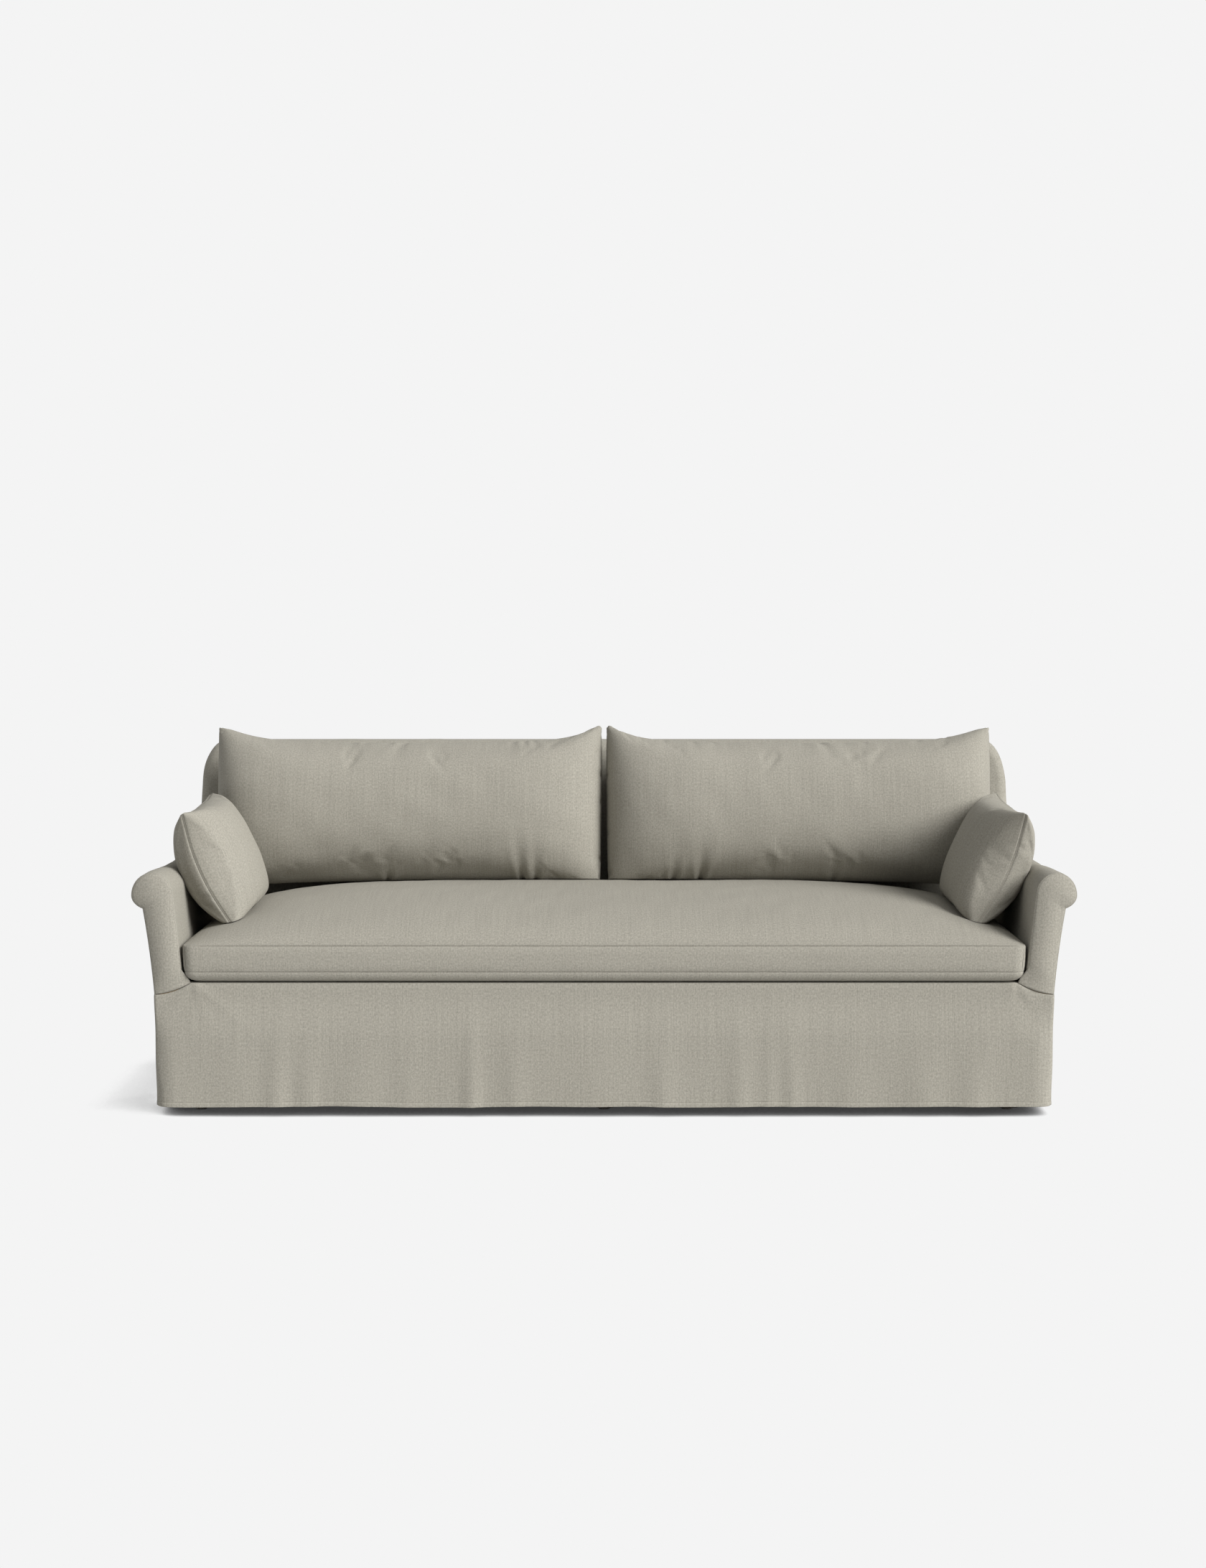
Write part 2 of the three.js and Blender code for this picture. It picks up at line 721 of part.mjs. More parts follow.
function seatSurface(x, y) {
  const u = Math.min(Math.abs(x) / (seatHalfWidth + seatFlareWidth), 1);
  const acrossShare = (1 - u ** seatEndPowers[0]) ** seatEndPowers[1];
  const near = THREE.MathUtils.clamp((seatRidge - y) / (seatRidge - seatFront), 0, 1);
  const far = THREE.MathUtils.clamp((y - seatRidge) / (seatRear - seatRidge), 0, 1);
  const alongShare = Math.sqrt(1 - near ** seatFrontPower) * Math.sqrt(1 - far ** seatRearPower);
  return seatSeamHigh + seatCrown * acrossShare * alongShare;
}

function seatCushion() {
  const form = new THREE.BoxGeometry(2, 2, 2, ...seatGrid);
  const floor = deckHeight + gap;
  return reshape(form, (p) => {
    const u = Math.sin(p.x * Math.PI / 2);
    const v = Math.sin(p.y * Math.PI / 2);
    const up = (p.z + 1) / 2;
    const half = seatHalfWidth + seatFlareWidth * up;
    const x = u * half;
    const ySide = Math.abs(p.y) === 1;
    const xSide = Math.abs(p.x) === 1;
    const bulge = ySide && !xSide ? seatBoxingBulge * (1 - p.z ** 2) * (1 - Math.abs(u) ** 8) : 0;
    const yFlat = lerp(seatFront, seatRear, (v + 1) / 2);
    const y = p.y < 0 ? yFlat - bulge : yFlat;
    if (p.z === 1) {
      return new THREE.Vector3(x, yFlat, seatSurface(u * (seatHalfWidth + seatFlareWidth), yFlat));
    }
    if (p.z === -1) {
      const rise = xSide || ySide ? seatSeamLow - floor : 0;
      return new THREE.Vector3(x, yFlat, floor + rise);
    }
    return new THREE.Vector3(x, y, lerp(seatSeamLow, seatSeamHigh, up));
  });
}

const seatGeometry = seatCushion();
place('seat_cushion', seatGeometry, linen);

// What lies on the seat is cut to its surface, with the running gap
const seatEnvelope = toSolid(seatGeometry.clone().translate(0, 0, gap));

// A knife-edged cushion in its own plane: a and b along its sides, c through it, ears at its corners
function knifeEdge({ length, height, thicknesses, pullA, pullB, sagPower, fillPower, bow, grid }, toPlace) {
  const form = new THREE.BoxGeometry(2, 2, 2, ...grid, 1);
  return reshape(form, (p) => {
    const u = Math.sin(p.x * Math.PI / 2);
    const v = Math.sin(p.y * Math.PI / 2);
    const a = u * (length / 2 - pullA * (1 - v ** 2));
    const b = v * (height / 2 - pullB * (1 - u ** 2) ** sagPower);
    const fill = ((1 - u ** 2) * (1 - v ** 2)) ** fillPower;
    const thickness = thicknesses[p.z > 0 ? 1 : 0];
    const c = Math.sign(p.z) * (seamHalfThickness + (thickness - seamHalfThickness) * fill);
    return toPlace(a, b, c + bow * (1 - v ** 2));
  });
}

// Back cushion: stands on the seat, leans on the inside back
const backCushionWidth = armInnerAt(rollHeight, 0) - backCushionSideClearance - backCushionHalfGap;
const backCushionBottom = seatSeamHigh + seatCrown - backCushionSink;

function backCushion(side) {
  const middleX = side * (backCushionHalfGap + backCushionWidth / 2);
  const middleZ = backCushionBottom + backCushionHeight / 2 * Math.cos(backCushionLean);
  const middleY = insideBackAt(middleZ) - backCushionThickness / 2;
  const form = knifeEdge({
    length: backCushionWidth,
    height: backCushionHeight,
    thicknesses: [backCushionThickness / 2, backCushionThickness / 2],
    pullA: backCushionSidePull,
    pullB: backCushionSag,
    sagPower: backCushionSagPower,
    fillPower: backCushionFill,
    bow: 0,
    grid: backCushionGrid,
  }, (a, b, c) => {
    const z = middleZ + b * Math.cos(backCushionLean) + c * Math.sin(backCushionLean);
    const y = middleY + b * Math.sin(backCushionLean) - c * Math.cos(backCushionLean);
    return new THREE.Vector3(middleX + a, Math.min(y, insideBackAt(z) - gap), z);
  });
  return toGeometry(toSolid(form).subtract(seatEnvelope));
}

// Lumbar pillow: stands on the seat's end and leans on the arm's roll
const pillowCentreHeight = seatSeamHigh + pillowFootRise + pillowHeight / 2 * Math.cos(pillowLean);
const pillowRear = insideBackAt(pillowCentreHeight) - backCushionThickness / 2 - pillowRearClearance;

// Its outer side is pressed flat where it leans, along the roll's tangent
const pillowRest = rollRadius + gap - rollX * Math.cos(pillowLean) + rollHeight * Math.sin(pillowLean);

function pillow(side) {
  const innerThickness = pillowThickness * pillowInnerShare;
  const form = knifeEdge({
    length: pillowLength,
    height: pillowHeight,
    thicknesses: [innerThickness, pillowThickness - innerThickness],
    pullA: pillowEndPull,
    pullB: pillowTopPull,
    sagPower: 1,
    fillPower: pillowFill,
    bow: pillowBow,
    grid: pillowGrid,
  }, (a, b, c) => {
    const depth = side * a * Math.cos(pillowRoll) - b * Math.sin(pillowRoll);
    const up = b * Math.cos(pillowRoll) + side * a * Math.sin(pillowRoll);
    const across = up * Math.sin(pillowLean) + c * Math.cos(pillowLean) - depth * Math.sin(pillowYaw);
    const x = rollX - pillowFromArm + across;
    const z = pillowCentreHeight + up * Math.cos(pillowLean) - c * Math.sin(pillowLean);
    return new THREE.Vector3(side * x, pillowRear - pillowLength / 2 + depth * Math.cos(pillowYaw), z);
  });
  const away = [-side * Math.cos(pillowLean), 0, Math.sin(pillowLean)];
  return toGeometry(toSolid(form).subtract(seatEnvelope).trimByPlane(away, pillowRest));
}

Object.entries(sides).forEach(([name, side]) => {
  place(`back_cushion_${name}`, backCushion(side), linen);
  place(`lumbar_pillow_${name}`, pillow(side), linen);
});

// The origin is on the floor, at the middle of the sofa's box
const box = new THREE.Box3().setFromObject(sofa);
sofa.position.set(-(box.min.x + box.max.x) / 2, -(box.min.y + box.max.y) / 2, -box.min.z);

export default sofa;
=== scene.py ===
import math

import bmesh
import bpy
import numpy as np
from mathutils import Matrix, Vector, noise


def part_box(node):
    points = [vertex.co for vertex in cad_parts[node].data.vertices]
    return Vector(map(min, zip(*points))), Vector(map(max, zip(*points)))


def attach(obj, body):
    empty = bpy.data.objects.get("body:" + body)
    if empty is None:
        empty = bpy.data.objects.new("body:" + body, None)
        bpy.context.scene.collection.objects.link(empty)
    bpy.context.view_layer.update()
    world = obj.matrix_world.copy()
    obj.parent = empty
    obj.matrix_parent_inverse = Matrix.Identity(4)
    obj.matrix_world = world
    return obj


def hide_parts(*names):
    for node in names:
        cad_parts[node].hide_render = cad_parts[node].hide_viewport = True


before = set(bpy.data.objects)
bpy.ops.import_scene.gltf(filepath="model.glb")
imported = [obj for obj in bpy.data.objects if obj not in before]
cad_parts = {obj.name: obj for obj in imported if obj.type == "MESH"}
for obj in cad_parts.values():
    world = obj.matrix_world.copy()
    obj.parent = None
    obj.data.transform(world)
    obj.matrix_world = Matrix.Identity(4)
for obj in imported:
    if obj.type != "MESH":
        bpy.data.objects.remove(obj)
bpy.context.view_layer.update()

# Sizes of the sofa in metres, the same as in its solids. Depths count back from the arms' front plane
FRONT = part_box("arm_cover_left")[0].y
ROLL_RADIUS = 0.052
ROLL_UNDER = 0.037
ROLL_PUFF = 0.0045
ROLL_HEIGHT = 0.548
ROLL_X = 1.1165
ARM_LEAN = math.radians(6)
ARM_OUTER_LEAN = math.radians(7.2)
ARM_OUTER_HOLLOW = 0.0024
NOTCH_ANGLE = math.radians(-62)
NOTCH_X = ROLL_X + ROLL_RADIUS * math.cos(NOTCH_ANGLE)
NOTCH_HEIGHT = ROLL_HEIGHT + ROLL_UNDER * math.sin(NOTCH_ANGLE)
COVER_DEPTH = 0.843
BACK_HEIGHT = 0.890
BACK_THICKNESS = 0.118
BACK_EDGE_RADIUS = 0.028
BACK_FOOT = 0.3207
SHOULDER_REACH = 0.060
SHOULDER_DROP = 0.120
WING_HALF = 1.116
WING_TAPER = 0.009
RAKE = math.radians(9)
SKIRT_TOP = 0.302
SKIRT_CLEARANCE = 0.025
SKIRT_FLARE = 0.004
DECK_HEIGHT = 0.333
CUFF_RUN = 0.093
CUFF_DROP = 0.002
GAP = 0.0005
SIDES = {"left": -1, "right": 1}


def inner_x(z, inset=0.0):
    """Inner face of the right arm's wall."""
    return ROLL_X - (ROLL_RADIUS - inset) / math.cos(ARM_LEAN) + (z - ROLL_HEIGHT) * math.tan(ARM_LEAN)


def outer_x(z, inset=0.0):
    """Outer face of the right arm's wall, a little hollow where the cloth is drawn down."""
    share = np.clip((z - SKIRT_TOP) / (NOTCH_HEIGHT - SKIRT_TOP), 0, 1)
    line = NOTCH_X - inset / math.cos(ARM_OUTER_LEAN) + (z - NOTCH_HEIGHT) * math.tan(ARM_OUTER_LEAN)
    return line - 4 * ARM_OUTER_HOLLOW * share * (1 - share)


BASE_HALF = float(outer_x(SKIRT_TOP))


def rear_y(z):
    return COVER_DEPTH + (z - SKIRT_TOP) * math.tan(RAKE)


def inside_back_y(z):
    return rear_y(z) - BACK_THICKNESS


def smooth(t):
    t = np.clip(t, 0.0, 1.0)
    return t * t * (3 - 2 * t)


def bell(x, width):
    return np.exp(-(x / width) ** 2)


def waves(u, v, seed, length, octaves=3):
    """A smooth seeded field over two coordinates in metres, about -1 to 1."""
    rng = np.random.default_rng(seed)
    total = np.zeros(np.broadcast(u, v).shape)
    for k in range(octaves):
        for _ in range(5):
            angle = rng.uniform(0, 2 * math.pi)
            phase = rng.uniform(0, 2 * math.pi)
            reach = length / 1.9 ** k * rng.uniform(0.7, 1.4)
            along = u * math.cos(angle) + v * math.sin(angle)
            total += 0.62 ** k * np.sin(2 * math.pi * along / reach + phase)
    return total / 4


def arc_lengths(points):
    steps = np.linalg.norm(np.diff(points, axis=0), axis=1)
    return np.concatenate([[0.0], np.cumsum(steps)])


def unit(vectors):
    return vectors / np.maximum(np.linalg.norm(vectors, axis=-1, keepdims=True), 1e-12)


def spaced(length, step, fine=(0.0006, 0.0014, 0.0024, 0.0038, 0.0056, 0.0082, 0.012)):
    """Distances along a length, dense at both of its ends, where the seams are."""
    inner = np.linspace(fine[-1], length - fine[-1], max(2, round((length - 2 * fine[-1]) / step) + 1))
    ends = np.array(fine[:-1])
    return np.concatenate([[0.0], ends, inner, length - ends[::-1], [length]])


def set_all(thing, **values):
    for key, value in values.items():
        setattr(thing, key, value)


# Meshes
def linked(name, data):
    """A new object with that data, in the scene."""
    obj = bpy.data.objects.new(name, data)
    bpy.context.scene.collection.objects.link(obj)
    return obj


def mesh_from(name, points, faces):
    mesh = bpy.data.meshes.new(name)
    mesh.from_pydata(points.tolist(), [], faces.tolist())
    return mesh


def grid_faces(index, flip):
    """The four-sided faces of a grid of point numbers."""
    quads = [index[:-1, :-1], index[:-1, 1:], index[1:, 1:], index[1:, :-1]]
    return np.stack(quads[::-1] if flip else quads, axis=-1).reshape(-1, 4)


class Cloth:
    """Grids of points with their places on the cloth, sewn into one mesh."""

    def __init__(self):
        self.points = []
        self.flat = []
        self.faces = []
        self.count = 0

    def patch(self, points, flat, flip=False):
        points = np.asarray(points, float)
        rows, columns = points.shape[:2]
        index = self.count + np.arange(rows * columns).reshape(rows, columns)
        self.faces.append(grid_faces(index, flip))
        self.points.append(points.reshape(-1, 3))
        self.flat.append(np.asarray(flat, float).reshape(-1, 2))
        self.count += rows * columns
        return self

    def sewn(self, name, weld=2e-6):
        points = np.concatenate(self.points)
        points[:, 1] += FRONT
        flat = np.concatenate(self.flat)
        mesh = mesh_from(name, points, np.concatenate(self.faces))
        layer = mesh.uv_layers.new(name="cloth")
        loops = np.empty(len(mesh.loops), np.int32)
        mesh.loops.foreach_get("vertex_index", loops)
        layer.data.foreach_set("uv", flat[loops].ravel())
        bm = bmesh.new()
        bm.from_mesh(mesh)
        bmesh.ops.remove_doubles(bm, verts=bm.verts, dist=weld)
        bmesh.ops.dissolve_degenerate(bm, edges=bm.edges, dist=weld)
        bm.to_mesh(mesh)
        bm.free()
        mesh.polygons.foreach_set("use_smooth", [True] * len(mesh.polygons))
        mesh.update()
        return linked(name, mesh)


def normals(points, row, column):
    """Unit normals of a grid of points, all turned so that the one at that place looks up."""
    n = unit(np.cross(np.gradient(points, axis=1), np.gradient(points, axis=0)))
    return n if n[row, column, 2] >= 0 else -n


# Node trees
def feed(tree, made, inputs):
    """Gives each input of a node its value, or links another node's output to it."""
    for name, entry in inputs.items():
        if isinstance(entry, bpy.types.NodeSocket):
            tree.links.new(entry, made.inputs[name])
        else:
            made.inputs[name].default_value = entry


def node(tree, kind, inputs={}, **settings):
    made = tree.nodes.new(kind)
    set_all(made, **settings)
    feed(tree, made, inputs)
    return made


def maths(tree, operation, *values):
    return node(tree, "ShaderNodeMath", dict(enumerate(values)), operation=operation).outputs[0]


def weighted(tree, *terms):
    """The sum of values, each times its weight."""
    parts = [maths(tree, "MULTIPLY", value, weight) for value, weight in terms]
    total = parts[0]
    for part in parts[1:]:
        total = maths(tree, "ADD", total, part)
    return total


def fresh(name, values):
    """A new material and its shader, with the shader's plain values."""
    material = bpy.data.materials.new(name)
    material.use_nodes = True
    tree = material.node_tree
    tree.nodes.clear()
    shader = node(tree, "ShaderNodeBsdfPrincipled", values)
    node(tree, "ShaderNodeOutputMaterial", {"Surface": shader.outputs["BSDF"]})
    return material, tree, shader


def stretched_noise(tree, vector, scale, detail, roughness):
    """Noise whose grain is 1/scale metres along each axis, centred on zero."""
    mapped = node(tree, "ShaderNodeVectorMath", {0: vector, 1: scale}, operation="MULTIPLY")
    grain = {"Vector": mapped.outputs[0], "Scale": 1.0, "Detail": detail, "Roughness": roughness}
    return maths(tree, "SUBTRACT", node(tree, "ShaderNodeTexNoise", grain).outputs[0], 0.5)


def object_noise(tree, scale, detail, roughness):
    place = node(tree, "ShaderNodeTexCoord").outputs["Object"]
    return stretched_noise(tree, place, scale, detail, roughness)


def grained(tree, shader, base, tone, height, strength, distance):
    """Base colour made lighter and darker by a tone, and a bump by a height, both centred on zero."""
    lit = {0: base, "Scale": maths(tree, "ADD", tone, 1.0)}
    colour = node(tree, "ShaderNodeVectorMath", lit, operation="SCALE")
    raised = node(tree, "ShaderNodeBump", {"Strength": strength, "Distance": distance, "Height": height})
    feed(tree, shader, {"Base Color": colour.outputs[0], "Normal": raised.outputs[0]})


THREAD_PITCH = 0.0011


def woven(name, base):
    """A plain weave of slubby yarns: crossings, thick-and-thin yarns both ways, pale and dark flecks."""
    material, tree, shader = fresh(name, {
        "Roughness": 0.92, "Specular IOR Level": 0.18,
        "Sheen Weight": 0.10, "Sheen Roughness": 0.5, "Sheen Tint": (0.85, 0.82, 0.74, 1.0),
    })
    place = node(tree, "ShaderNodeUVMap", uv_map="cloth").outputs[0]
    split = node(tree, "ShaderNodeSeparateXYZ", {0: place})
    turn = 2 * math.pi / THREAD_PITCH
    warp, weft = (maths(tree, "SINE", maths(tree, "MULTIPLY", split.outputs[i], turn)) for i in (0, 1))
    crossings = maths(tree, "MULTIPLY", warp, weft)
    flecks = stretched_noise(tree, place, (250.0, 190.0, 1.0), 3.0, 0.75)
    slubs = stretched_noise(tree, place, (330.0, 5.0, 1.0), 2.0, 0.6)
    weft_slubs = stretched_noise(tree, place, (30.0, 480.0, 1.0), 1.0, 0.5)
    tone = stretched_noise(tree, place, (3.0, 2.2, 1.0), 2.0, 0.5)
    light = weighted(
        tree, (flecks, 1.12), (slubs, 0.32), (weft_slubs, 0.112), (tone, 0.06), (crossings, 0.035),
    )
    height = weighted(tree, (crossings, 0.35), (slubs, 1.2), (weft_slubs, 0.8), (flecks, 0.6))
    grained(tree, shader, base, light, height, 0.5, 0.0005)
    return material


def wood(name, base, along, roughness, contrast):
    """Wood with long grain along one axis and fine pores."""
    material, tree, shader = fresh(name, {"Roughness": roughness})
    coarse = tuple(9.0 if i == along else 130.0 for i in range(3))
    fine = tuple(40.0 if i == along else 900.0 for i in range(3))
    grain = object_noise(tree, coarse, 5.0, 0.6)
    pores = object_noise(tree, fine, 2.0, 0.6)
    mixed = weighted(tree, (grain, contrast), (pores, contrast / 2))
    grained(tree, shader, base, mixed, mixed, 0.3, 0.0004)
    return material


def felt(name, base):
    """Matted fibres: wadding or non-woven cloth."""
    material, tree, shader = fresh(name, {"Roughness": 1.0, "Specular IOR Level": 0.1})
    tufts = object_noise(tree, (90.0, 90.0, 90.0), 4.0, 0.7)
    fibres = object_noise(tree, (900.0, 500.0, 700.0), 2.0, 0.7)
    mixed = weighted(tree, (tufts, 0.5), (fibres, 0.4))
    grained(tree, shader, base, mixed, mixed, 0.6, 0.002)
    return material


def wire_steel(name):
    material, tree, shader = fresh(name, {"Metallic": 1.0, "Roughness": 0.38})
    drawn = object_noise(tree, (60.0, 900.0, 900.0), 3.0, 0.6)
    grained(tree, shader, (0.25, 0.25, 0.25), maths(tree, "MULTIPLY", drawn, 0.5), drawn, 0.2, 0.0002)
    return material


def moulded(name, base):
    material, tree, shader = fresh(name, {"Roughness": 0.55})
    grain = object_noise(tree, (1400.0, 1400.0, 1400.0), 2.0, 0.5)
    grained(tree, shader, base, maths(tree, "MULTIPLY", grain, 0.15), grain, 0.25, 0.0003)
    return material


linen = woven("linen", (0.305, 0.289, 0.246))
lining = felt("cambric_cloth", (0.03, 0.03, 0.03))
batting = felt("wadding_felt", (0.78, 0.75, 0.68))
steel = wire_steel("spring_wire")
glide_plastic = moulded("glide_nylon", (0.25, 0.23, 0.20))
frame_wood = [wood(f"hardwood_{axis}", (0.45, 0.28, 0.13), i, 0.7, 0.55) for i, axis in enumerate("xyz")]
stained_wood = wood("leg_stain", (0.06, 0.035, 0.02), 2, 0.42, 0.6)


def dress(obj, material, body, node_name):
    """Finishes a soft piece: its material, the body it rides on and the node it stands for."""
    obj.data.materials.append(material)
    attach(obj, body)
    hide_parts(node_name)
    return obj


def sewn_piece(cloth, name, body, node_name, thickness=0.0, material=linen):
    """A dressed piece of cloth. Its thickness lies on the side away from where its faces look."""
    obj = cloth.sewn(name)
    if thickness:
        set_all(obj.modifiers.new("thickness", "SOLIDIFY"), thickness=thickness, offset=-1, use_rim=True)
    return dress(obj, material, body, node_name)


# Camera: level with a standing viewer's chest, some metres from the arms' front plane
SENSOR_WIDTH = 36.0
FOCAL_SHARE = 3749.2 / 2184
CAMERA_DISTANCE = 6.6148
CAMERA_HEIGHT = 1.2366
CAMERA_ASIDE = -0.0029
CAMERA_PITCH = math.radians(3.5686)

camera_data = bpy.data.cameras.new("camera")
set_all(camera_data, sensor_fit="AUTO", sensor_width=SENSOR_WIDTH, lens=SENSOR_WIDTH * FOCAL_SHARE)
camera = linked("camera", camera_data)
camera.location = (CAMERA_ASIDE, FRONT - CAMERA_DISTANCE, CAMERA_HEIGHT)
camera.rotation_euler = (math.pi / 2 - CAMERA_PITCH, 0.0, 0.0)
bpy.context.scene.camera = camera
bpy.context.scene.view_settings.view_transform = "Standard"

# Light: a broad key from the right, front and above, and an even surround
KEY_TOWARDS = (0.74, -0.52, 0.50)
KEY_IRRADIANCE = 1.40
KEY_ANGLE = math.radians(36)
BACKGROUND = (0.905, 0.905, 0.905, 1.0)
SURROUND = 0.40

key_light = bpy.data.lights.new("key_light", "SUN")
set_all(key_light, energy=KEY_IRRADIANCE * math.pi, angle=KEY_ANGLE)
linked("key_light", key_light).rotation_euler = Vector(KEY_TOWARDS).to_track_quat("Z", "Y").to_euler()


def show(tree, out, lighting, seen):
    """Gives the output one shader that lights, and one for what is seen, mirrored or looked through."""
    path = node(tree, "ShaderNodeLightPath").outputs
    direct = maths(tree, "MAXIMUM", path["Is Camera Ray"], path["Is Glossy Ray"])
    direct = maths(tree, "MAXIMUM", direct, path["Is Transmission Ray"])
    mix = node(tree, "ShaderNodeMixShader", {0: direct, 1: lighting.outputs[0], 2: seen.outputs[0]})
    feed(tree, out, {"Surface": mix.outputs[0]})


world = bpy.data.worlds.new("surround")
bpy.context.scene.world = world
world.use_nodes = True
sky = world.node_tree
sky.nodes.clear()
show(
    sky, node(sky, "ShaderNodeOutputWorld"),
    node(sky, "ShaderNodeBackground", {"Color": (1.0, 1.0, 1.0, 1.0), "Strength": SURROUND}),
    node(sky, "ShaderNodeBackground", {"Color": BACKGROUND, "Strength": 1.0}),
)


def floor_material():
    """A pale floor that looks like the backdrop where it is open, and darkens where the sofa shades it."""
    material, tree, shader = fresh("pale_floor", {
        "Base Color": (0.68, 0.68, 0.68, 1.0), "Roughness": 0.9, "Specular IOR Level": 0.0,
    })
    overhead = node(tree, "ShaderNodeAmbientOcclusion", {"Distance": 1.2}, samples=16)
    key_side = node(tree, "ShaderNodeCombineXYZ", {"X": 0.62, "Y": -0.78, "Z": 0.0}).outputs[0]
    beside = node(tree, "ShaderNodeAmbientOcclusion", {"Distance": 0.25, "Normal": key_side}, samples=16)
    under = maths(tree, "MINIMUM", maths(tree, "MULTIPLY", overhead.outputs["AO"], 2.6), 1.0)
    shaded = maths(tree, "MULTIPLY", maths(tree, "SUBTRACT", beside.outputs["AO"], 0.5), 2.7)
    openness = maths(tree, "MULTIPLY", under, maths(tree, "MINIMUM", shaded, 1.0))
    strength = maths(tree, "MAXIMUM", openness, 0.045)
    glow = node(tree, "ShaderNodeEmission", {"Color": BACKGROUND, "Strength": strength})
    show(tree, tree.nodes["Material Output"], shader, glow)
    return material


FLOOR_HALF = 9.0
floor_corners = FLOOR_HALF * np.array([(-1, -1, 0), (1, -1, 0), (1, 1, 0), (-1, 1, 0)])
floor = linked("floor", mesh_from("floor", floor_corners, np.array([(0, 1, 2, 3)])))
floor.data.materials.append(floor_material())
floor.location.z = -0.0005


# Bench seat cushion
SEAT_FRONT = -0.017
SEAT_HALF = inner_x(DECK_HEIGHT) - 0.0025
SEAT_TOP_HALF = SEAT_HALF + 0.004
SEAM_LOW = 0.3595
SEAM_HIGH = 0.4240
SEAT_CROWN = 0.1085
SEAT_RIDGE = 0.450
SEAT_REAR = inside_back_y(DECK_HEIGHT) - 0.001
SEAT_DEPTH = SEAT_REAR - SEAT_FRONT
SEAT_MIDDLE = (SEAT_FRONT + SEAT_REAR) / 2
SEAT_BULGE = {"front": 0.005, "rear": 0.0, "left": 0.00125, "right": 0.00125}
SEAT_CORNER = 0.026
SEAM_DEPTH = 0.0010
SEAM_WIDTH = 0.0010
SEAM_RIM = 0.0007
UNDER_INSET = 0.030
UNDER_SHARES = np.array([0.0, 0.0007, 0.0016, 0.003, 0.0055, 0.009, 0.014, 0.019, 0.0245]) / 0.0245
DENT_X = 0.935
DENT_Y = 0.215
DENT_DEPTH = 0.009
DENT_REACH = 0.085


def seat_z(x, y):
    """Height of the seat's crown."""
    u = np.clip(np.abs(x) / SEAT_TOP_HALF, 0, 1)
    across = (1 - u ** 5.4) ** 0.75
    near = np.clip((SEAT_RIDGE - y) / (SEAT_RIDGE - SEAT_FRONT), 0, 1)
    far = np.clip((y - SEAT_RIDGE) / (SEAT_REAR - SEAT_RIDGE), 0, 1)
    rise = SEAT_CROWN * across * np.sqrt(1 - near ** 2.5) * np.sqrt(1 - far ** 4)
    dent = DENT_DEPTH * bell(np.hypot(np.abs(x) - DENT_X, y - DENT_Y), DENT_REACH)
    return SEAM_HIGH + np.maximum(rise - dent * smooth(rise / 0.05), 0)


def by_arc(curve, step):
    """The curve's parameters at even steps along it, dense at its ends."""
    lengths = arc_lengths(curve)
    return np.interp(spaced(lengths[-1], step), lengths, np.linspace(0, 1, len(curve)))


def rounded_corners(x, y, half_x, low_y, high_y, radius):
    """Moves points of a rectangle so that its corners are round."""
    middle = (low_y + high_y) / 2
    half_y = (high_y - low_y) / 2
    a = np.maximum(np.abs(x) - (half_x - radius), 0)
    b = np.maximum(np.abs(y - middle) - (half_y - radius), 0)
    reach = np.hypot(a, b)
    shrink = np.where(reach > 1e-9, np.maximum(a, b) / np.maximum(reach, 1e-9), 1)
    new_x = np.where(a > 0, np.sign(x) * (half_x - radius + a * shrink), x)
    new_y = np.where(b > 0, middle + np.sign(y - middle) * (half_y - radius + b * shrink), y)
    return new_x, new_y


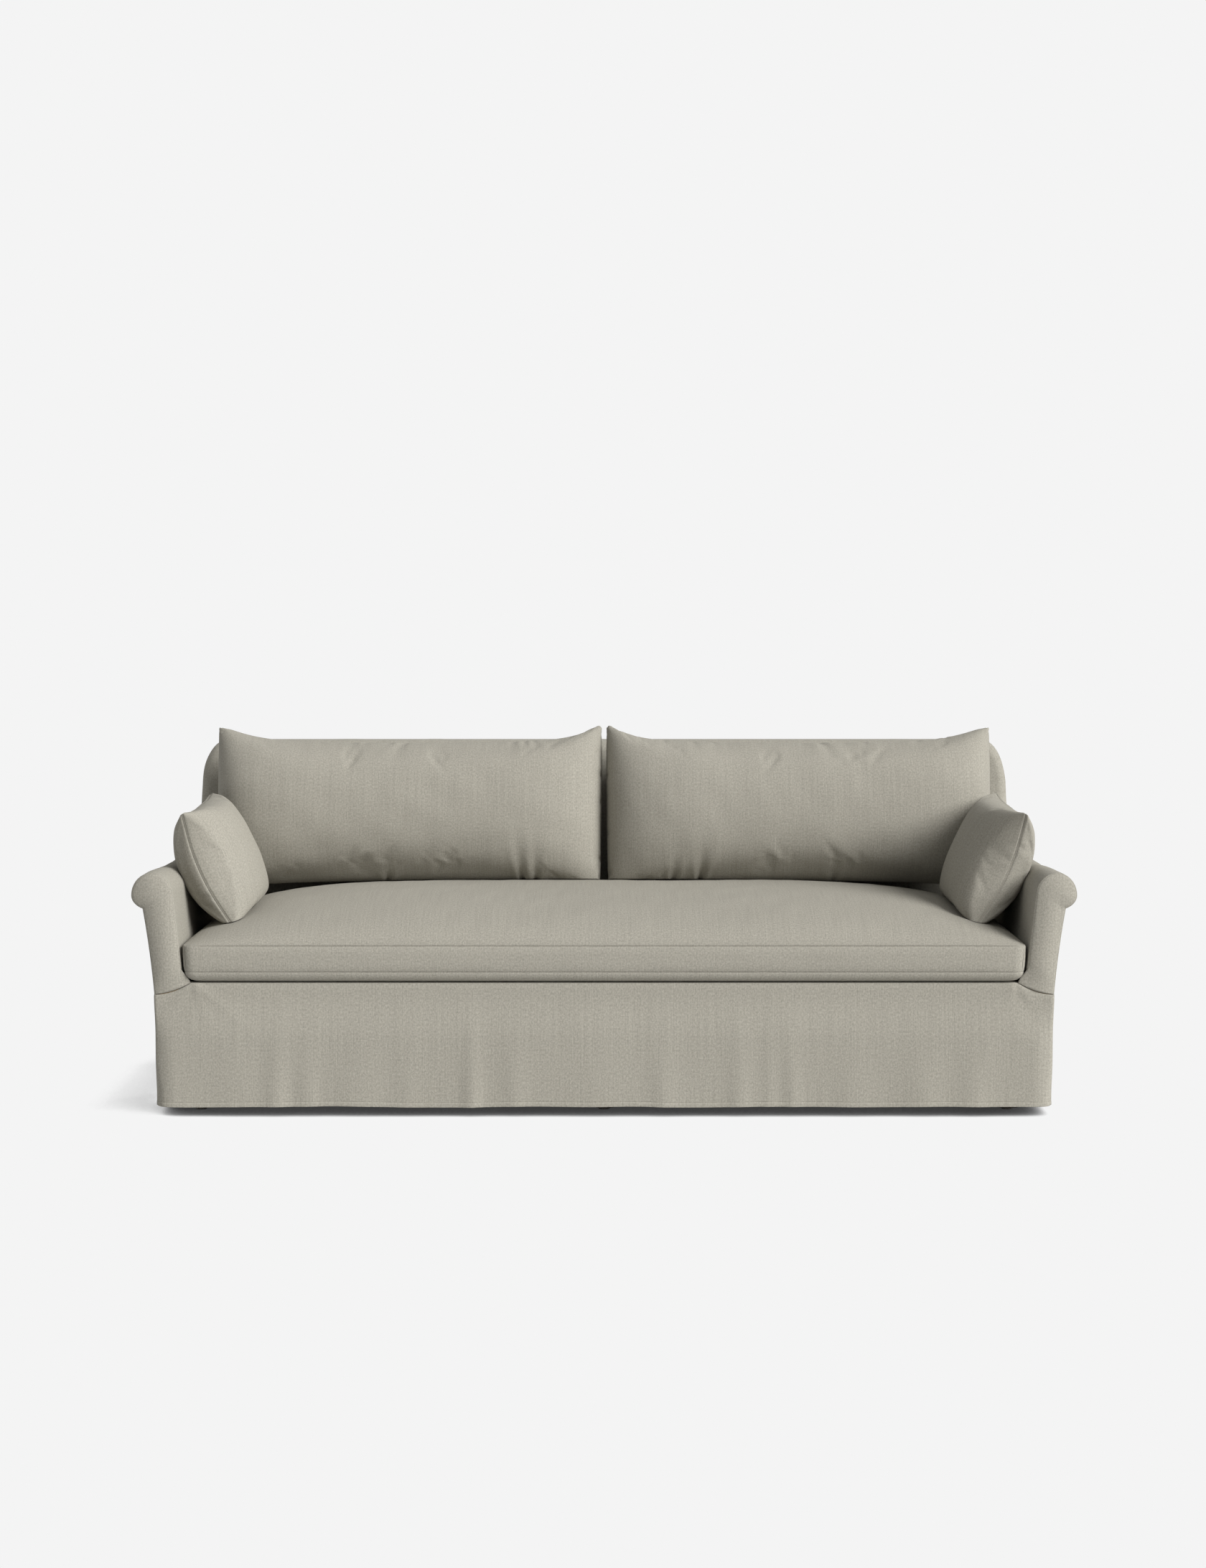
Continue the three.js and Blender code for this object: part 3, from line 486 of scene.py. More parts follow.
def seat_cushion():
    t = np.linspace(0, 1, 4001)
    xs = (2 * t - 1) * SEAT_TOP_HALF
    ys = SEAT_FRONT + SEAT_DEPTH * t
    profile = np.stack([ys, seat_z(0 * ys, ys)], 1)
    u = by_arc(np.stack([xs, seat_z(xs, SEAT_RIDGE + 0 * xs)], 1), 0.0085) * 2 - 1
    v = by_arc(profile, 0.0075)
    grid_u, grid_v = np.meshgrid(u, v)
    floor_z = DECK_HEIGHT + GAP
    cloth = Cloth()

    def plan(half, inward=0.0):
        """The grid in plan with round corners."""
        x = grid_u * (half - inward)
        y = SEAT_FRONT + inward + (SEAT_DEPTH - 2 * inward) * grid_v
        low_y, high_y = SEAT_FRONT + inward, SEAT_REAR - inward
        return np.stack(rounded_corners(x, y, half - inward, low_y, high_y, SEAT_CORNER), -1)

    base = plan(SEAT_HALF)
    high = plan(SEAT_TOP_HALF)
    under = plan(SEAT_HALF, UNDER_INSET)

    # Crown
    flat_x = grid_u * SEAT_TOP_HALF
    z = seat_z(flat_x, SEAT_FRONT + SEAT_DEPTH * grid_v)
    rise = z - SEAM_HIGH
    groove = SEAM_DEPTH * bell(rise, SEAM_WIDTH) - SEAM_RIM * bell(rise - 0.0042, 0.0026)
    out_x = np.sign(high[..., 0]) * smooth((np.abs(grid_u) - 0.985) / 0.015)
    out_y = np.sign(high[..., 1] - SEAT_MIDDLE) * smooth((np.abs(2 * grid_v - 1) - 0.95) / 0.05)
    x = high[..., 0] - out_x * groove
    y = high[..., 1] - out_y * groove
    z = z + 0.0016 * waves(x, y, 11, 0.34) * smooth(rise / 0.06)
    arc_y = np.interp(grid_v, t, arc_lengths(profile))
    cloth.patch(np.stack([x, y, z], -1), np.stack([flat_x, arc_y], -1))

    edges = {"front": np.s_[0, :], "rear": np.s_[-1, :], "left": np.s_[:, 0], "right": np.s_[:, -1]}

    def band(side, edge, rows, flip):
        """A strip along one side. Its rows hold points in plan, a height and a place up the cloth."""
        along = edge[0, 0 if side in ("front", "rear") else 1] + arc_lengths(edge)
        points = [np.column_stack([point, np.full(len(point), height)]) for point, height, _ in rows]
        flat = [np.column_stack([along, np.full(len(along), up)]) for _, _, up in rows]
        cloth.patch(points, flat, flip)

    # Border between the seams
    for side, cut in edges.items():
        from_middle = high[cut] - (0, SEAT_MIDDLE)
        straight = (SEAT_TOP_HALF - SEAT_CORNER, SEAT_DEPTH / 2 - SEAT_CORNER)
        outward = unit(np.maximum(np.abs(from_middle) - straight, 0) * np.sign(from_middle))
        run = arc_lengths(high[cut])
        rows = []
        for level in spaced(1.0, 0.14, (0.008, 0.02, 0.036, 0.056, 0.09)):
            height = SEAM_LOW + (SEAM_HIGH - SEAM_LOW) * level
            low_gap = height - SEAM_LOW
            high_gap = SEAM_HIGH - height
            edge = base[cut] + (high[cut] - base[cut]) * level
            bulge = SEAT_BULGE[side] * (1 - (2 * level - 1) ** 4)
            if side == "front":
                bulge = bulge * (1 - np.clip(np.abs(edge[:, :1]) / SEAT_TOP_HALF, 0, 1) ** 16)
            groove = SEAM_DEPTH * (bell(low_gap, SEAM_WIDTH) + bell(high_gap, SEAM_WIDTH))
            wander = 0.0009 * waves(run, np.full_like(run, height), 5, 0.22)[:, None]
            wander = wander * smooth(low_gap / 0.01) * smooth(high_gap / 0.01)
            rows.append((edge + outward * (bulge - groove + wander), height, height))
        band(side, high[cut], rows, side in ("rear", "left"))

    # Underside: a soft edge below the seam, then flat on the deck
    for side, cut in edges.items():
        inward = under[cut] - base[cut]
        rows = []
        for share in UNDER_SHARES:
            angle = share * math.pi / 2
            drop = (SEAM_LOW - floor_z) * math.sin(angle)
            tuck = 0.7 * SEAM_DEPTH * bell(drop, SEAM_WIDTH)
            bulge = 0.001 * math.sin(math.pi * min(1, share * 1.15)) if side == "front" else 0.0
            point = base[cut] + inward * (1 - math.cos(angle)) - unit(inward) * (bulge - tuck)
            rows.append((point, SEAM_LOW - drop, SEAM_LOW - drop * 1.3))
        band(side, base[cut], rows, side in ("front", "right"))
    level = np.full(grid_u.shape + (1,), floor_z)
    cloth.patch(np.concatenate([under, level], -1), under, flip=True)
    sewn_piece(cloth, "seat_cushion_soft", "seat", "seat_cushion")


seat_cushion()


# Knife-edged cushions
def share_steps(count, sharp=1.6):
    """Shares from -1 to 1, crowded at both ends."""
    t = np.linspace(-1, 1, count)
    return np.sign(t) * (1 - (1 - np.abs(t)) ** sharp)


def simulate(points, faces, pressure, growth, frames, cap):
    """Swells a closed cloth under pressure and returns its points, none moved further than cap."""
    mesh = mesh_from("swelling", points, faces)
    obj = linked("swelling", mesh)
    scene = bpy.context.scene
    modifier = obj.modifiers.new("cloth", "CLOTH")
    set_all(
        modifier.settings, quality=6, mass=0.3, air_damping=2.0,
        tension_stiffness=25, compression_stiffness=25, shear_stiffness=8, bending_stiffness=0.6,
        use_pressure=True, uniform_pressure_force=pressure, shrink_min=growth,
    )
    modifier.settings.effector_weights.gravity = 0.0
    set_all(modifier.collision_settings, use_collision=False, use_self_collision=False)
    set_all(modifier.point_cache, frame_start=1, frame_end=frames)
    for step in range(1, frames + 1):
        scene.frame_set(step)
    evaluated = obj.evaluated_get(bpy.context.evaluated_depsgraph_get())
    out = np.empty(len(points) * 3)
    evaluated.data.vertices.foreach_get("co", out)
    out = out.reshape(-1, 3)
    scene.frame_set(1)
    bpy.data.objects.remove(obj)
    bpy.data.meshes.remove(mesh)
    moved = out - points
    far = np.linalg.norm(moved, axis=1, keepdims=True)
    moved *= np.tanh(far / cap) / np.maximum(far / cap, 1e-9)
    return points + moved


def upsample(grid, rows, columns):
    """Samples a grid of points by smooth curves through them, at fractional rows and columns."""

    def along(values, at):
        last = len(values) - 1
        cell = np.clip(np.floor(at).astype(int), 0, last - 1)
        f = (at - cell).reshape(-1, *([1] * (values.ndim - 1)))
        p1 = values[cell]
        p2 = values[cell + 1]
        p0 = np.where((cell > 0).reshape(f.shape), values[np.maximum(cell - 1, 0)], 2 * p1 - p2)
        p3 = np.where((cell < last - 1).reshape(f.shape), values[np.minimum(cell + 2, last)], 2 * p2 - p1)
        bend = 2 * p0 - 5 * p1 + 4 * p2 - p3 + f * (3 * (p1 - p2) + p3 - p0)
        return p1 + 0.5 * f * (p2 - p0 + f * bend)

    first = along(grid, rows)
    return np.swapaxes(along(np.swapaxes(first, 0, 1), columns), 0, 1)


def fine_steps(count):
    """Half steps over a count of lines, with three more at each end."""
    last = count - 1
    extra = np.array([0.06, 0.16, 0.3])
    return np.sort(np.concatenate([np.linspace(0, last, 2 * last + 1), extra, last - extra]))


def knife_cushion(form, depths, counts, puckers, seed, pressure, growth, cap, to_place):
    """A knife-edged cushion's cloth: two swollen panels sewn at their edge, with puckers at the seam."""
    columns, rows = counts
    a, b, c = form(*np.meshgrid(share_steps(columns), share_steps(rows)))
    front = np.stack([a, b, depths[0] * c], -1)
    back = np.stack([a, b, -depths[1] * c], -1)
    index = np.arange(rows * columns).reshape(rows, columns)
    back_index = index + rows * columns
    for cut in (np.s_[0, :], np.s_[-1, :], np.s_[:, 0], np.s_[:, -1]):
        back_index[cut] = index[cut]
    used, numbers = np.unique(np.stack([index, back_index]), return_inverse=True)
    index, back_index = numbers.reshape(2, rows, columns)
    faces = np.concatenate([grid_faces(index, False), grid_faces(back_index, True)])
    both = np.concatenate([front.reshape(-1, 3), back.reshape(-1, 3)])[used]
    swollen = simulate(both, faces, pressure, growth, 24, cap)
    front = swollen[index]
    back = swollen[back_index]

    cloth = Cloth()
    for flip, grid in enumerate((front, back)):
        fine = upsample(grid, fine_steps(rows), fine_steps(columns))
        fine = finish_panel(fine, puckers[flip], seed + flip)
        along = arc_lengths(fine[len(fine) // 2])
        up = arc_lengths(fine[:, fine.shape[1] // 2])
        cloth.patch(to_place(fine), np.stack(np.meshgrid(along, up), -1), bool(flip))
    return cloth


def finish_panel(grid, puckers, seed):
    """Presses the seam's crease and the puckers into one panel of a cushion."""
    middle = (grid.shape[0] // 2, grid.shape[1] // 2)
    n = normals(grid, *middle) * np.sign(grid[middle][2])
    left = np.cumsum(np.linalg.norm(np.diff(grid, axis=1, prepend=grid[:, :1]), axis=-1), axis=1)
    up = np.cumsum(np.linalg.norm(np.diff(grid, axis=0, prepend=grid[:1]), axis=-1), axis=0)
    distances = {"left": left, "right": left[:, -1:] - left, "bottom": up, "top": up[-1:] - up}
    nearest = np.minimum.reduce(list(distances.values()))
    squeeze = 0.0022 * bell(nearest, 0.0024) - 0.0008 * bell(nearest - 0.0060, 0.0032)
    sink = np.zeros(nearest.shape)
    for side, share, width, reach, depth, skew in puckers:
        t = distances[side]
        if side in ("top", "bottom"):
            s = grid[..., 0]
            at = share * grid[0 if side == "bottom" else -1, -1, 0]
        else:
            s = grid[..., 1]
            at = share * grid[-1, 0, 1]
        w = width * (0.75 + 0.9 * t / reach)
        offset = s - at - skew * t
        fade = np.exp(-(t / reach) ** 1.5) * smooth(0.25 + t / 0.02)
        sink += depth * fade * (bell(offset, w) - 0.42 * bell(np.abs(offset) - 1.7 * w, 0.9 * w))
    sink *= smooth(nearest / 0.006)
    wander = 0.0014 * waves(grid[..., 0], grid[..., 1], seed, 0.26) * smooth(nearest / 0.05)
    return grid - n * (sink + squeeze * smooth(nearest / 0.0012) - wander)[..., None]


# Back cushions
BACK_CUSHION_HALF_GAP = 0.003
BACK_CUSHION_WIDTH = inner_x(ROLL_HEIGHT) - 0.017 - BACK_CUSHION_HALF_GAP
BACK_CUSHION_HEIGHT = 0.453
BACK_CUSHION_THICKNESS = 0.262
BACK_CUSHION_BOTTOM = 0.4905
BACK_CUSHION_LEAN = math.radians(10)
BACK_CUSHION_SAG = 0.0385
BACK_CUSHION_SIDE_PULL = 0.0012
EAR_RADIUS = 0.010
REST_CLEARANCE = 0.0008
SEAT_CLEARANCE = 0.0024

# Side, place as a share of the half length, width, reach, depth and skew of each pucker
LEFT_PUCKERS = [
    ("top", -0.47, 0.007, 0.055, 0.0030, 0.05),
    ("top", -0.31, 0.009, 0.050, 0.0030, 0.10),
    ("top", -0.23, 0.007, 0.060, 0.0026, -0.08),
    ("top", -0.115, 0.008, 0.045, 0.0028, 0.12),
    ("top", -0.015, 0.010, 0.085, 0.0048, -0.25),
    ("top", 0.46, 0.006, 0.040, 0.0022, 0.0),
    ("top", 0.54, 0.006, 0.055, 0.0036, 0.0),
    ("top", 0.60, 0.005, 0.060, 0.0040, 0.04),
    ("top", 0.645, 0.005, 0.050, 0.0032, 0.1),
    ("bottom", -0.11, 0.008, 0.070, 0.0050, 0.05),
    ("bottom", 0.60, 0.007, 0.110, 0.0080, -0.08),
    ("bottom", 0.665, 0.006, 0.080, 0.0070, 0.0),
    ("right", 0.42, 0.008, 0.045, 0.0030, 0.0),
    ("right", 0.10, 0.008, 0.040, 0.0026, 0.0),
    ("right", -0.60, 0.008, 0.045, 0.0030, 0.0),
]
RIGHT_PUCKERS = [
    ("top", -0.70, 0.006, 0.050, 0.0030, 0.0),
    ("top", -0.55, 0.007, 0.060, 0.0034, 0.06),
    ("top", -0.44, 0.006, 0.050, 0.0030, 0.0),
    ("top", -0.21, 0.008, 0.045, 0.0026, -0.05),
    ("top", 0.015, 0.008, 0.050, 0.0028, 0.1),
    ("top", 0.11, 0.009, 0.085, 0.0046, 0.22),
    ("top", 0.24, 0.008, 0.050, 0.0026, 0.0),
    ("top", 0.34, 0.007, 0.060, 0.0030, 0.05),
    ("top", 0.62, 0.008, 0.050, 0.0030, 0.0),
    ("top", 0.77, 0.007, 0.045, 0.0026, 0.0),
    ("bottom", -0.66, 0.007, 0.090, 0.0060, 0.05),
    ("bottom", -0.52, 0.008, 0.100, 0.0080, 0.05),
    ("bottom", 0.18, 0.008, 0.060, 0.0044, 0.0),
    ("left", 0.40, 0.008, 0.045, 0.0030, 0.0),
    ("left", -0.30, 0.008, 0.045, 0.0026, 0.0),
]


def above_seat(points):
    """Lifts what would sink in the seat cushion onto its surface."""
    x, y, z = np.moveaxis(points, -1, 0)
    inside = (np.abs(x) < SEAT_TOP_HALF) & (y < SEAT_REAR)
    points[..., 2] = np.where(inside, np.maximum(z, seat_z(x, y) + SEAT_CLEARANCE), z)
    return points


def back_form(side):
    """A back cushion's form: pointed ears, a top that sags soon beside them, full ends."""
    half = BACK_CUSHION_WIDTH / 2
    reach = BACK_CUSHION_HEIGHT / 2

    def ear(distance, width):
        return 1 / (1 + (np.maximum(distance, 0) / width) ** 1.8)

    def form(a_share, b_share):
        a = a_share * (half - BACK_CUSHION_SIDE_PULL * (1 - b_share ** 2))
        to_inner = half + side * a
        to_outer = half - side * a
        ears = 1.01 * ear(to_inner, 0.078) + 0.85 * ear(to_outer, 0.095)
        top = reach - BACK_CUSHION_SAG * (1 - ears)
        low = -reach + 0.6 * BACK_CUSHION_SAG * (1 - a_share ** 2) ** 0.5
        b = low + (top - low) * (1 + b_share) / 2
        a, b = rounded_corners(a, b, half, -reach, reach + 0.001, EAR_RADIUS)
        outer_power = 6.5 + 1.5 * smooth((b_share + 0.1) / 0.6)
        outwards = side * a_share > 0
        ends = 1 - np.abs(a_share) ** np.where(outwards, outer_power, 6.0)
        upright = np.maximum(1 - b_share ** 2, 0) ** (0.42 + 0.15 * smooth(-b_share / 0.9))
        fill = np.maximum(ends, 0) ** 0.5 * upright
        return a, b, fill

    return form


def back_cushion(name, side, puckers, seed):
    cos, sin = math.cos(BACK_CUSHION_LEAN), math.sin(BACK_CUSHION_LEAN)
    middle_x = side * (BACK_CUSHION_HALF_GAP + BACK_CUSHION_WIDTH / 2)
    middle_z = BACK_CUSHION_BOTTOM + BACK_CUSHION_HEIGHT / 2 * cos
    middle_y = inside_back_y(middle_z) - BACK_CUSHION_THICKNESS / 2

    def to_place(p):
        z = middle_z + p[..., 1] * cos + p[..., 2] * sin
        y = middle_y + p[..., 1] * sin - p[..., 2] * cos
        y = np.minimum(y, inside_back_y(z) - REST_CLEARANCE)
        return above_seat(np.stack([middle_x + p[..., 0], y, z], -1))

    cloth = knife_cushion(
        back_form(side), (BACK_CUSHION_THICKNESS / 2,) * 2, (131, 61), (puckers, []), seed,
        pressure=3.0, growth=-0.02, cap=0.010, to_place=to_place,
    )
    cushion = sewn_piece(cloth, f"back_cushion_soft_{name}", f"back_{name}", f"back_cushion_{name}")


back_cushion("left", -1, LEFT_PUCKERS, 21)
back_cushion("right", 1, RIGHT_PUCKERS, 31)


# Lumbar pillows
PILLOW_LENGTH = 0.458
PILLOW_HEIGHT = 0.318
PILLOW_THICKNESS = 0.181
PILLOW_INNER_SHARE = 0.62
PILLOW_END_PULL = 0.030
PILLOW_TOP_PULL = 0.008
PILLOW_FILL_POWER = 0.42
PILLOW_BOW = 0.029
PILLOW_LEAN = math.radians(23.35)
PILLOW_ROLL = math.radians(2.8)
PILLOW_YAW = math.radians(2)
PILLOW_FROM_ARM = 0.126
PILLOW_CENTRE_HEIGHT = SEAM_HIGH + 0.040 + PILLOW_HEIGHT / 2 * math.cos(PILLOW_LEAN)
PILLOW_REAR = inside_back_y(PILLOW_CENTRE_HEIGHT) - BACK_CUSHION_THICKNESS / 2 - 0.071
OUTER_PUCKERS = [
    ("top", -0.45, 0.009, 0.040, 0.0026, 0.0),
    ("top", 0.30, 0.009, 0.045, 0.0030, 0.1),
    ("left", 0.45, 0.007, 0.035, 0.0020, 0.0),
    ("right", -0.40, 0.007, 0.035, 0.0020, 0.0),
]
INNER_PUCKERS = [
    ("top", -0.35, 0.010, 0.040, 0.0022, 0.0),
    ("top", 0.20, 0.010, 0.040, 0.0020, 0.1),
    ("left", 0.20, 0.008, 0.035, 0.0018, 0.0),
    ("right", -0.25, 0.008, 0.035, 0.0018, 0.0),
    ("bottom", 0.10, 0.009, 0.040, 0.0026, 0.0),
]


def arm_limit(z, puff=ROLL_PUFF):
    """How far out a piece can reach at a height before it meets the arm's inner side or its roll."""
    wall = inner_x(np.minimum(z, ROLL_HEIGHT))
    top = ROLL_RADIUS + puff
    reach = ROLL_RADIUS * np.sqrt(np.clip(1 - ((z - ROLL_HEIGHT) / top) ** 2, 0, None))
    limit = np.where(z < ROLL_HEIGHT, wall, ROLL_X - reach)
    return np.where(z > ROLL_HEIGHT + top, 9.0, limit) - GAP


def pillow_form(a_share, b_share):
    """A knife-edged pillow's form in its own plane, from shares along and up it: along, up and how full."""
    a = a_share * (PILLOW_LENGTH / 2 - PILLOW_END_PULL * (1 - b_share ** 2))
    b = b_share * (PILLOW_HEIGHT / 2 - PILLOW_TOP_PULL * (1 - a_share ** 2))
    return a, b, np.maximum((1 - a_share ** 2) * (1 - b_share ** 2), 0) ** PILLOW_FILL_POWER


def pillow(name, side, seed):

    def to_place(p):
        a = side * p[..., 0]
        depth = a * math.cos(PILLOW_ROLL) - p[..., 1] * math.sin(PILLOW_ROLL)
        up = p[..., 1] * math.cos(PILLOW_ROLL) + a * math.sin(PILLOW_ROLL)
        out = p[..., 2] + PILLOW_BOW * (1 - np.clip(2 * p[..., 1] / PILLOW_HEIGHT, -1, 1) ** 2)
        across = up * math.sin(PILLOW_LEAN) + out * math.cos(PILLOW_LEAN) - depth * math.sin(PILLOW_YAW)
        x = ROLL_X - PILLOW_FROM_ARM + across
        z = PILLOW_CENTRE_HEIGHT + up * math.cos(PILLOW_LEAN) - out * math.sin(PILLOW_LEAN)
        y = PILLOW_REAR - PILLOW_LENGTH / 2 + depth * math.cos(PILLOW_YAW)
        x = np.minimum(x, arm_limit(z) - REST_CLEARANCE)
        return above_seat(np.stack([side * x, y, z], -1))

    depths = (PILLOW_THICKNESS * (1 - PILLOW_INNER_SHARE), PILLOW_THICKNESS * PILLOW_INNER_SHARE)
    cloth = knife_cushion(
        pillow_form, depths, (67, 49), (OUTER_PUCKERS, INNER_PUCKERS), seed,
        pressure=4.0, growth=-0.02, cap=0.007, to_place=to_place,
    )
    cushion = sewn_piece(cloth, f"lumbar_pillow_soft_{name}", f"pillow_{name}", f"lumbar_pillow_{name}")


pillow("left", -1, 41)
pillow("right", 1, 51)


# Arms
LIP_INSET = 0.0026
LIP_LENGTH = 0.0050
SLEEVE_STEPS = 90
COVER_THICKNESS = 0.0026
PANEL_INSET = 0.0025
PANEL_THICKNESS = 0.0020
PANEL_SHARES = np.array([
    0, 0.012, 0.026, 0.045, 0.07, 0.1, 0.14, 0.2, 0.28, 0.37, 0.48, 0.6, 0.72, 0.85, 1.0,
])
PANEL_CROWN = 0.0100
PANEL_LIFT = 0.0018
ROLL_CROWN = 0.0096
ARM_TOP_SAG = 0.009
SEAM_FORWARD = 0.0070
FOOT_FLARE = 0.020
FOOT_GAP = 0.0012
FLARE_TOP = 0.374


def scroll(inset, inner_foot=SKIRT_TOP, outer_foot=SKIRT_TOP, counts=(26, 64, 22)):
    """The right arm's scroll outline from its inner foot over the roll to its outer foot."""
    radius = ROLL_RADIUS - inset
    under = ROLL_UNDER - inset
    reach = float(outer_x(ROLL_HEIGHT, inset)) - ROLL_X
    slant = under * math.tan(ARM_OUTER_LEAN)
    notch = -math.atan2(slant, radius) - math.acos(reach / math.hypot(radius, slant))
    angles = np.linspace(math.pi - ARM_LEAN, notch, counts[1])
    height = np.where(angles < 0, under, radius + ROLL_PUFF)
    arc = np.stack([ROLL_X + radius * np.cos(angles), ROLL_HEIGHT + height * np.sin(angles)], 1)
    z = np.linspace(inner_foot, arc[0, 1], counts[0], endpoint=False)
    inner = np.stack([inner_x(z, inset), z], 1)
    z = np.linspace(arc[-1, 1], outer_foot, counts[2] + 1)[1:]
    outer = np.stack([outer_x(z, inset), z], 1)
    return np.concatenate([inner, arc, outer])


def ring(outline, side, share, offset):
    """An outline as a ring of points at a share of the depth to the leaning rear plane, and an offset."""
    x, z = outline.T
    return np.stack([side * x, rear_y(z) * share + offset, z], 1)


def seam_forward(outline, wall_count):
    """How far the front seam stands out: most along the arm's inner side, nothing on its outer side."""
    angle = np.arctan2(outline[:, 1] - ROLL_HEIGHT, outline[:, 0] - ROLL_X)
    share = smooth((angle - 0.2) / 2.4)
    share[:wall_count] = 1.0
    return SEAM_FORWARD * share * smooth((outline[:, 1] - DECK_HEIGHT) / 0.05)


def roll_dip(y, z):
    """How far the top of an arm's roll lies below its front: it sags, and its fill ends at the back."""
    run = smooth((y - 0.02) / 0.40) * smooth((COVER_DEPTH - y) / 0.20)
    fill_end = smooth((y - COVER_DEPTH + 0.20) / 0.20)
    return (ARM_TOP_SAG * run + ROLL_PUFF * fill_end) * smooth((z - ROLL_HEIGHT) / 0.04)


def arm_sleeve(name, side):
    """Cover of one arm: its inner side, roll and outer side in one, its ends turned in at the seams."""
    lips = [(LIP_INSET + 0.0008, 0.0012)]
    for angle in np.radians([90, 80, 68, 55, 42, 28, 14, 0]):
        lips.append((LIP_INSET * (1 - math.cos(angle)), LIP_LENGTH * (1 - math.sin(angle))))
    middle = scroll(0.0)
    fore = np.outer(seam_forward(middle, 26), (0, 1, 0))
    rings = [ring(scroll(inset), side, 0, offset) - fore for inset, offset in lips]
    for share in np.arange(1, SLEEVE_STEPS) / SLEEVE_STEPS:
        rings.append(ring(middle, side, share, LIP_LENGTH * (1 - 2 * share)))
    rings += [ring(scroll(inset), side, 1, -offset) for inset, offset in reversed(lips)]
    points = np.array(rings)
    section = arc_lengths(middle)
    grid_s, grid_y = np.meshgrid(section, points[:, len(middle) // 2, 1])
    inside = smooth(grid_y / 0.03) * smooth((COVER_DEPTH - grid_y) / 0.03)
    rumple = 0.0012 * waves(grid_s, grid_y, 61 + side, 0.20) * inside
    points = points + normals(points, len(points) // 2, 60) * rumple[..., None]
    points[..., 2] -= roll_dip(grid_y, points[..., 2])
    cloth = Cloth().patch(points, np.stack([grid_y, -grid_s], -1), flip=side < 0)
    sleeve = sewn_piece(cloth, f"arm_sleeve_{name}", "frame", f"arm_cover_{name}", COVER_THICKNESS)


def cuff_seam(x):
    """Height of the seam where the skirt's cuff curves up from the arm's outer foot to the deck."""
    t = np.clip((BASE_HALF - np.abs(x)) / CUFF_RUN, 0, 1)
    return SKIRT_TOP + (DECK_HEIGHT - CUFF_DROP - SKIRT_TOP) * t ** 2


def arm_facing(name, side):
    """Front panel of one arm: a padded face between the scroll's seam and the cuff's curve."""
    walls, arc_count = 44, 89
    inner_foot = float(cuff_seam(inner_x(DECK_HEIGHT) - FOOT_FLARE)) + FOOT_GAP
    outer_foot = float(cuff_seam(outer_x(SKIRT_TOP, PANEL_INSET))) + FOOT_GAP
    outline = scroll(PANEL_INSET, inner_foot, outer_foot, (walls, arc_count, walls))
    flare = smooth((FLARE_TOP - outline[:walls, 1]) / (FLARE_TOP - inner_foot))
    outline[:walls, 0] -= FOOT_FLARE * flare
    fore = seam_forward(outline, walls)
    pairs = len(outline) // 2 + 1

    # Middle line between the two sides; in the roll all of it is the roll's centre
    middle = (outline + outline[::-1])[:pairs] / 2
    middle_fore = (fore + fore[::-1])[:pairs] / 2
    turn = np.linspace(math.pi - ARM_LEAN, NOTCH_ANGLE, arc_count)
    wide = walls + int(np.argmax(turn - turn[::-1] < math.pi))
    middle[wide:] = middle[wide]
    middle_fore[wide:] = middle_fore[wide]
    row = np.arange(pairs)
    crown = PANEL_CROWN * (0.7 + 0.3 * smooth(row / 14))
    crown = crown + (ROLL_CROWN - PANEL_CROWN) * smooth((row - walls + 20) / 20)

    def half_face(edge, edge_fore):
        inward = middle - edge
        reach = np.linalg.norm(inward, axis=1)[:, None] * PANEL_SHARES
        plan = edge[:, None] + inward[:, None] * PANEL_SHARES[None, :, None]
        seam = edge_fore[:, None] + (middle_fore - edge_fore)[:, None] * PANEL_SHARES - 0.0004
        lift = PANEL_LIFT * (1 - np.exp(-reach / 0.0013))
        out = seam + lift + crown[:, None] * (1 - (1 - PANEL_SHARES) ** 2)
        return np.stack([side * plan[..., 0], -out, plan[..., 1]], -1)

    face = np.concatenate([
        half_face(outline[:pairs], fore[:pairs]),
        half_face(outline[::-1][:pairs], fore[::-1][:pairs])[:, -2::-1],
    ], axis=1)
    foot = []
    for drop in (1.0, 0.93, 0.82, 0.66, 0.46, 0.24):
        line = face[0].copy()
        seam = cuff_seam(line[:, 0]) + FOOT_GAP
        line[:, 2] += (np.minimum(seam, line[:, 2]) - line[:, 2]) * drop
        line[:, 1] += (-0.0008 - line[:, 1]) * drop ** 3
        foot.append(line)
    face = np.concatenate([np.array(foot), face])
    cloth = Cloth().patch(face, face[..., [0, 2]], flip=side < 0)
    facing = sewn_piece(cloth, f"arm_facing_{name}", "frame", f"arm_front_panel_{name}", PANEL_THICKNESS)


for side_name, side_sign in SIDES.items():
    arm_sleeve(side_name, side_sign)
    arm_facing(side_name, side_sign)


# Back
WING_OUTSET = 0.0024
SLIP_SEAM = 0.0045
SLIP_COLUMNS = 90
SHOULDER_HEIGHT = BACK_HEIGHT - SHOULDER_DROP
OUTSIDE_INSET = 0.0020
OUTSIDE_PUFF = 0.0033


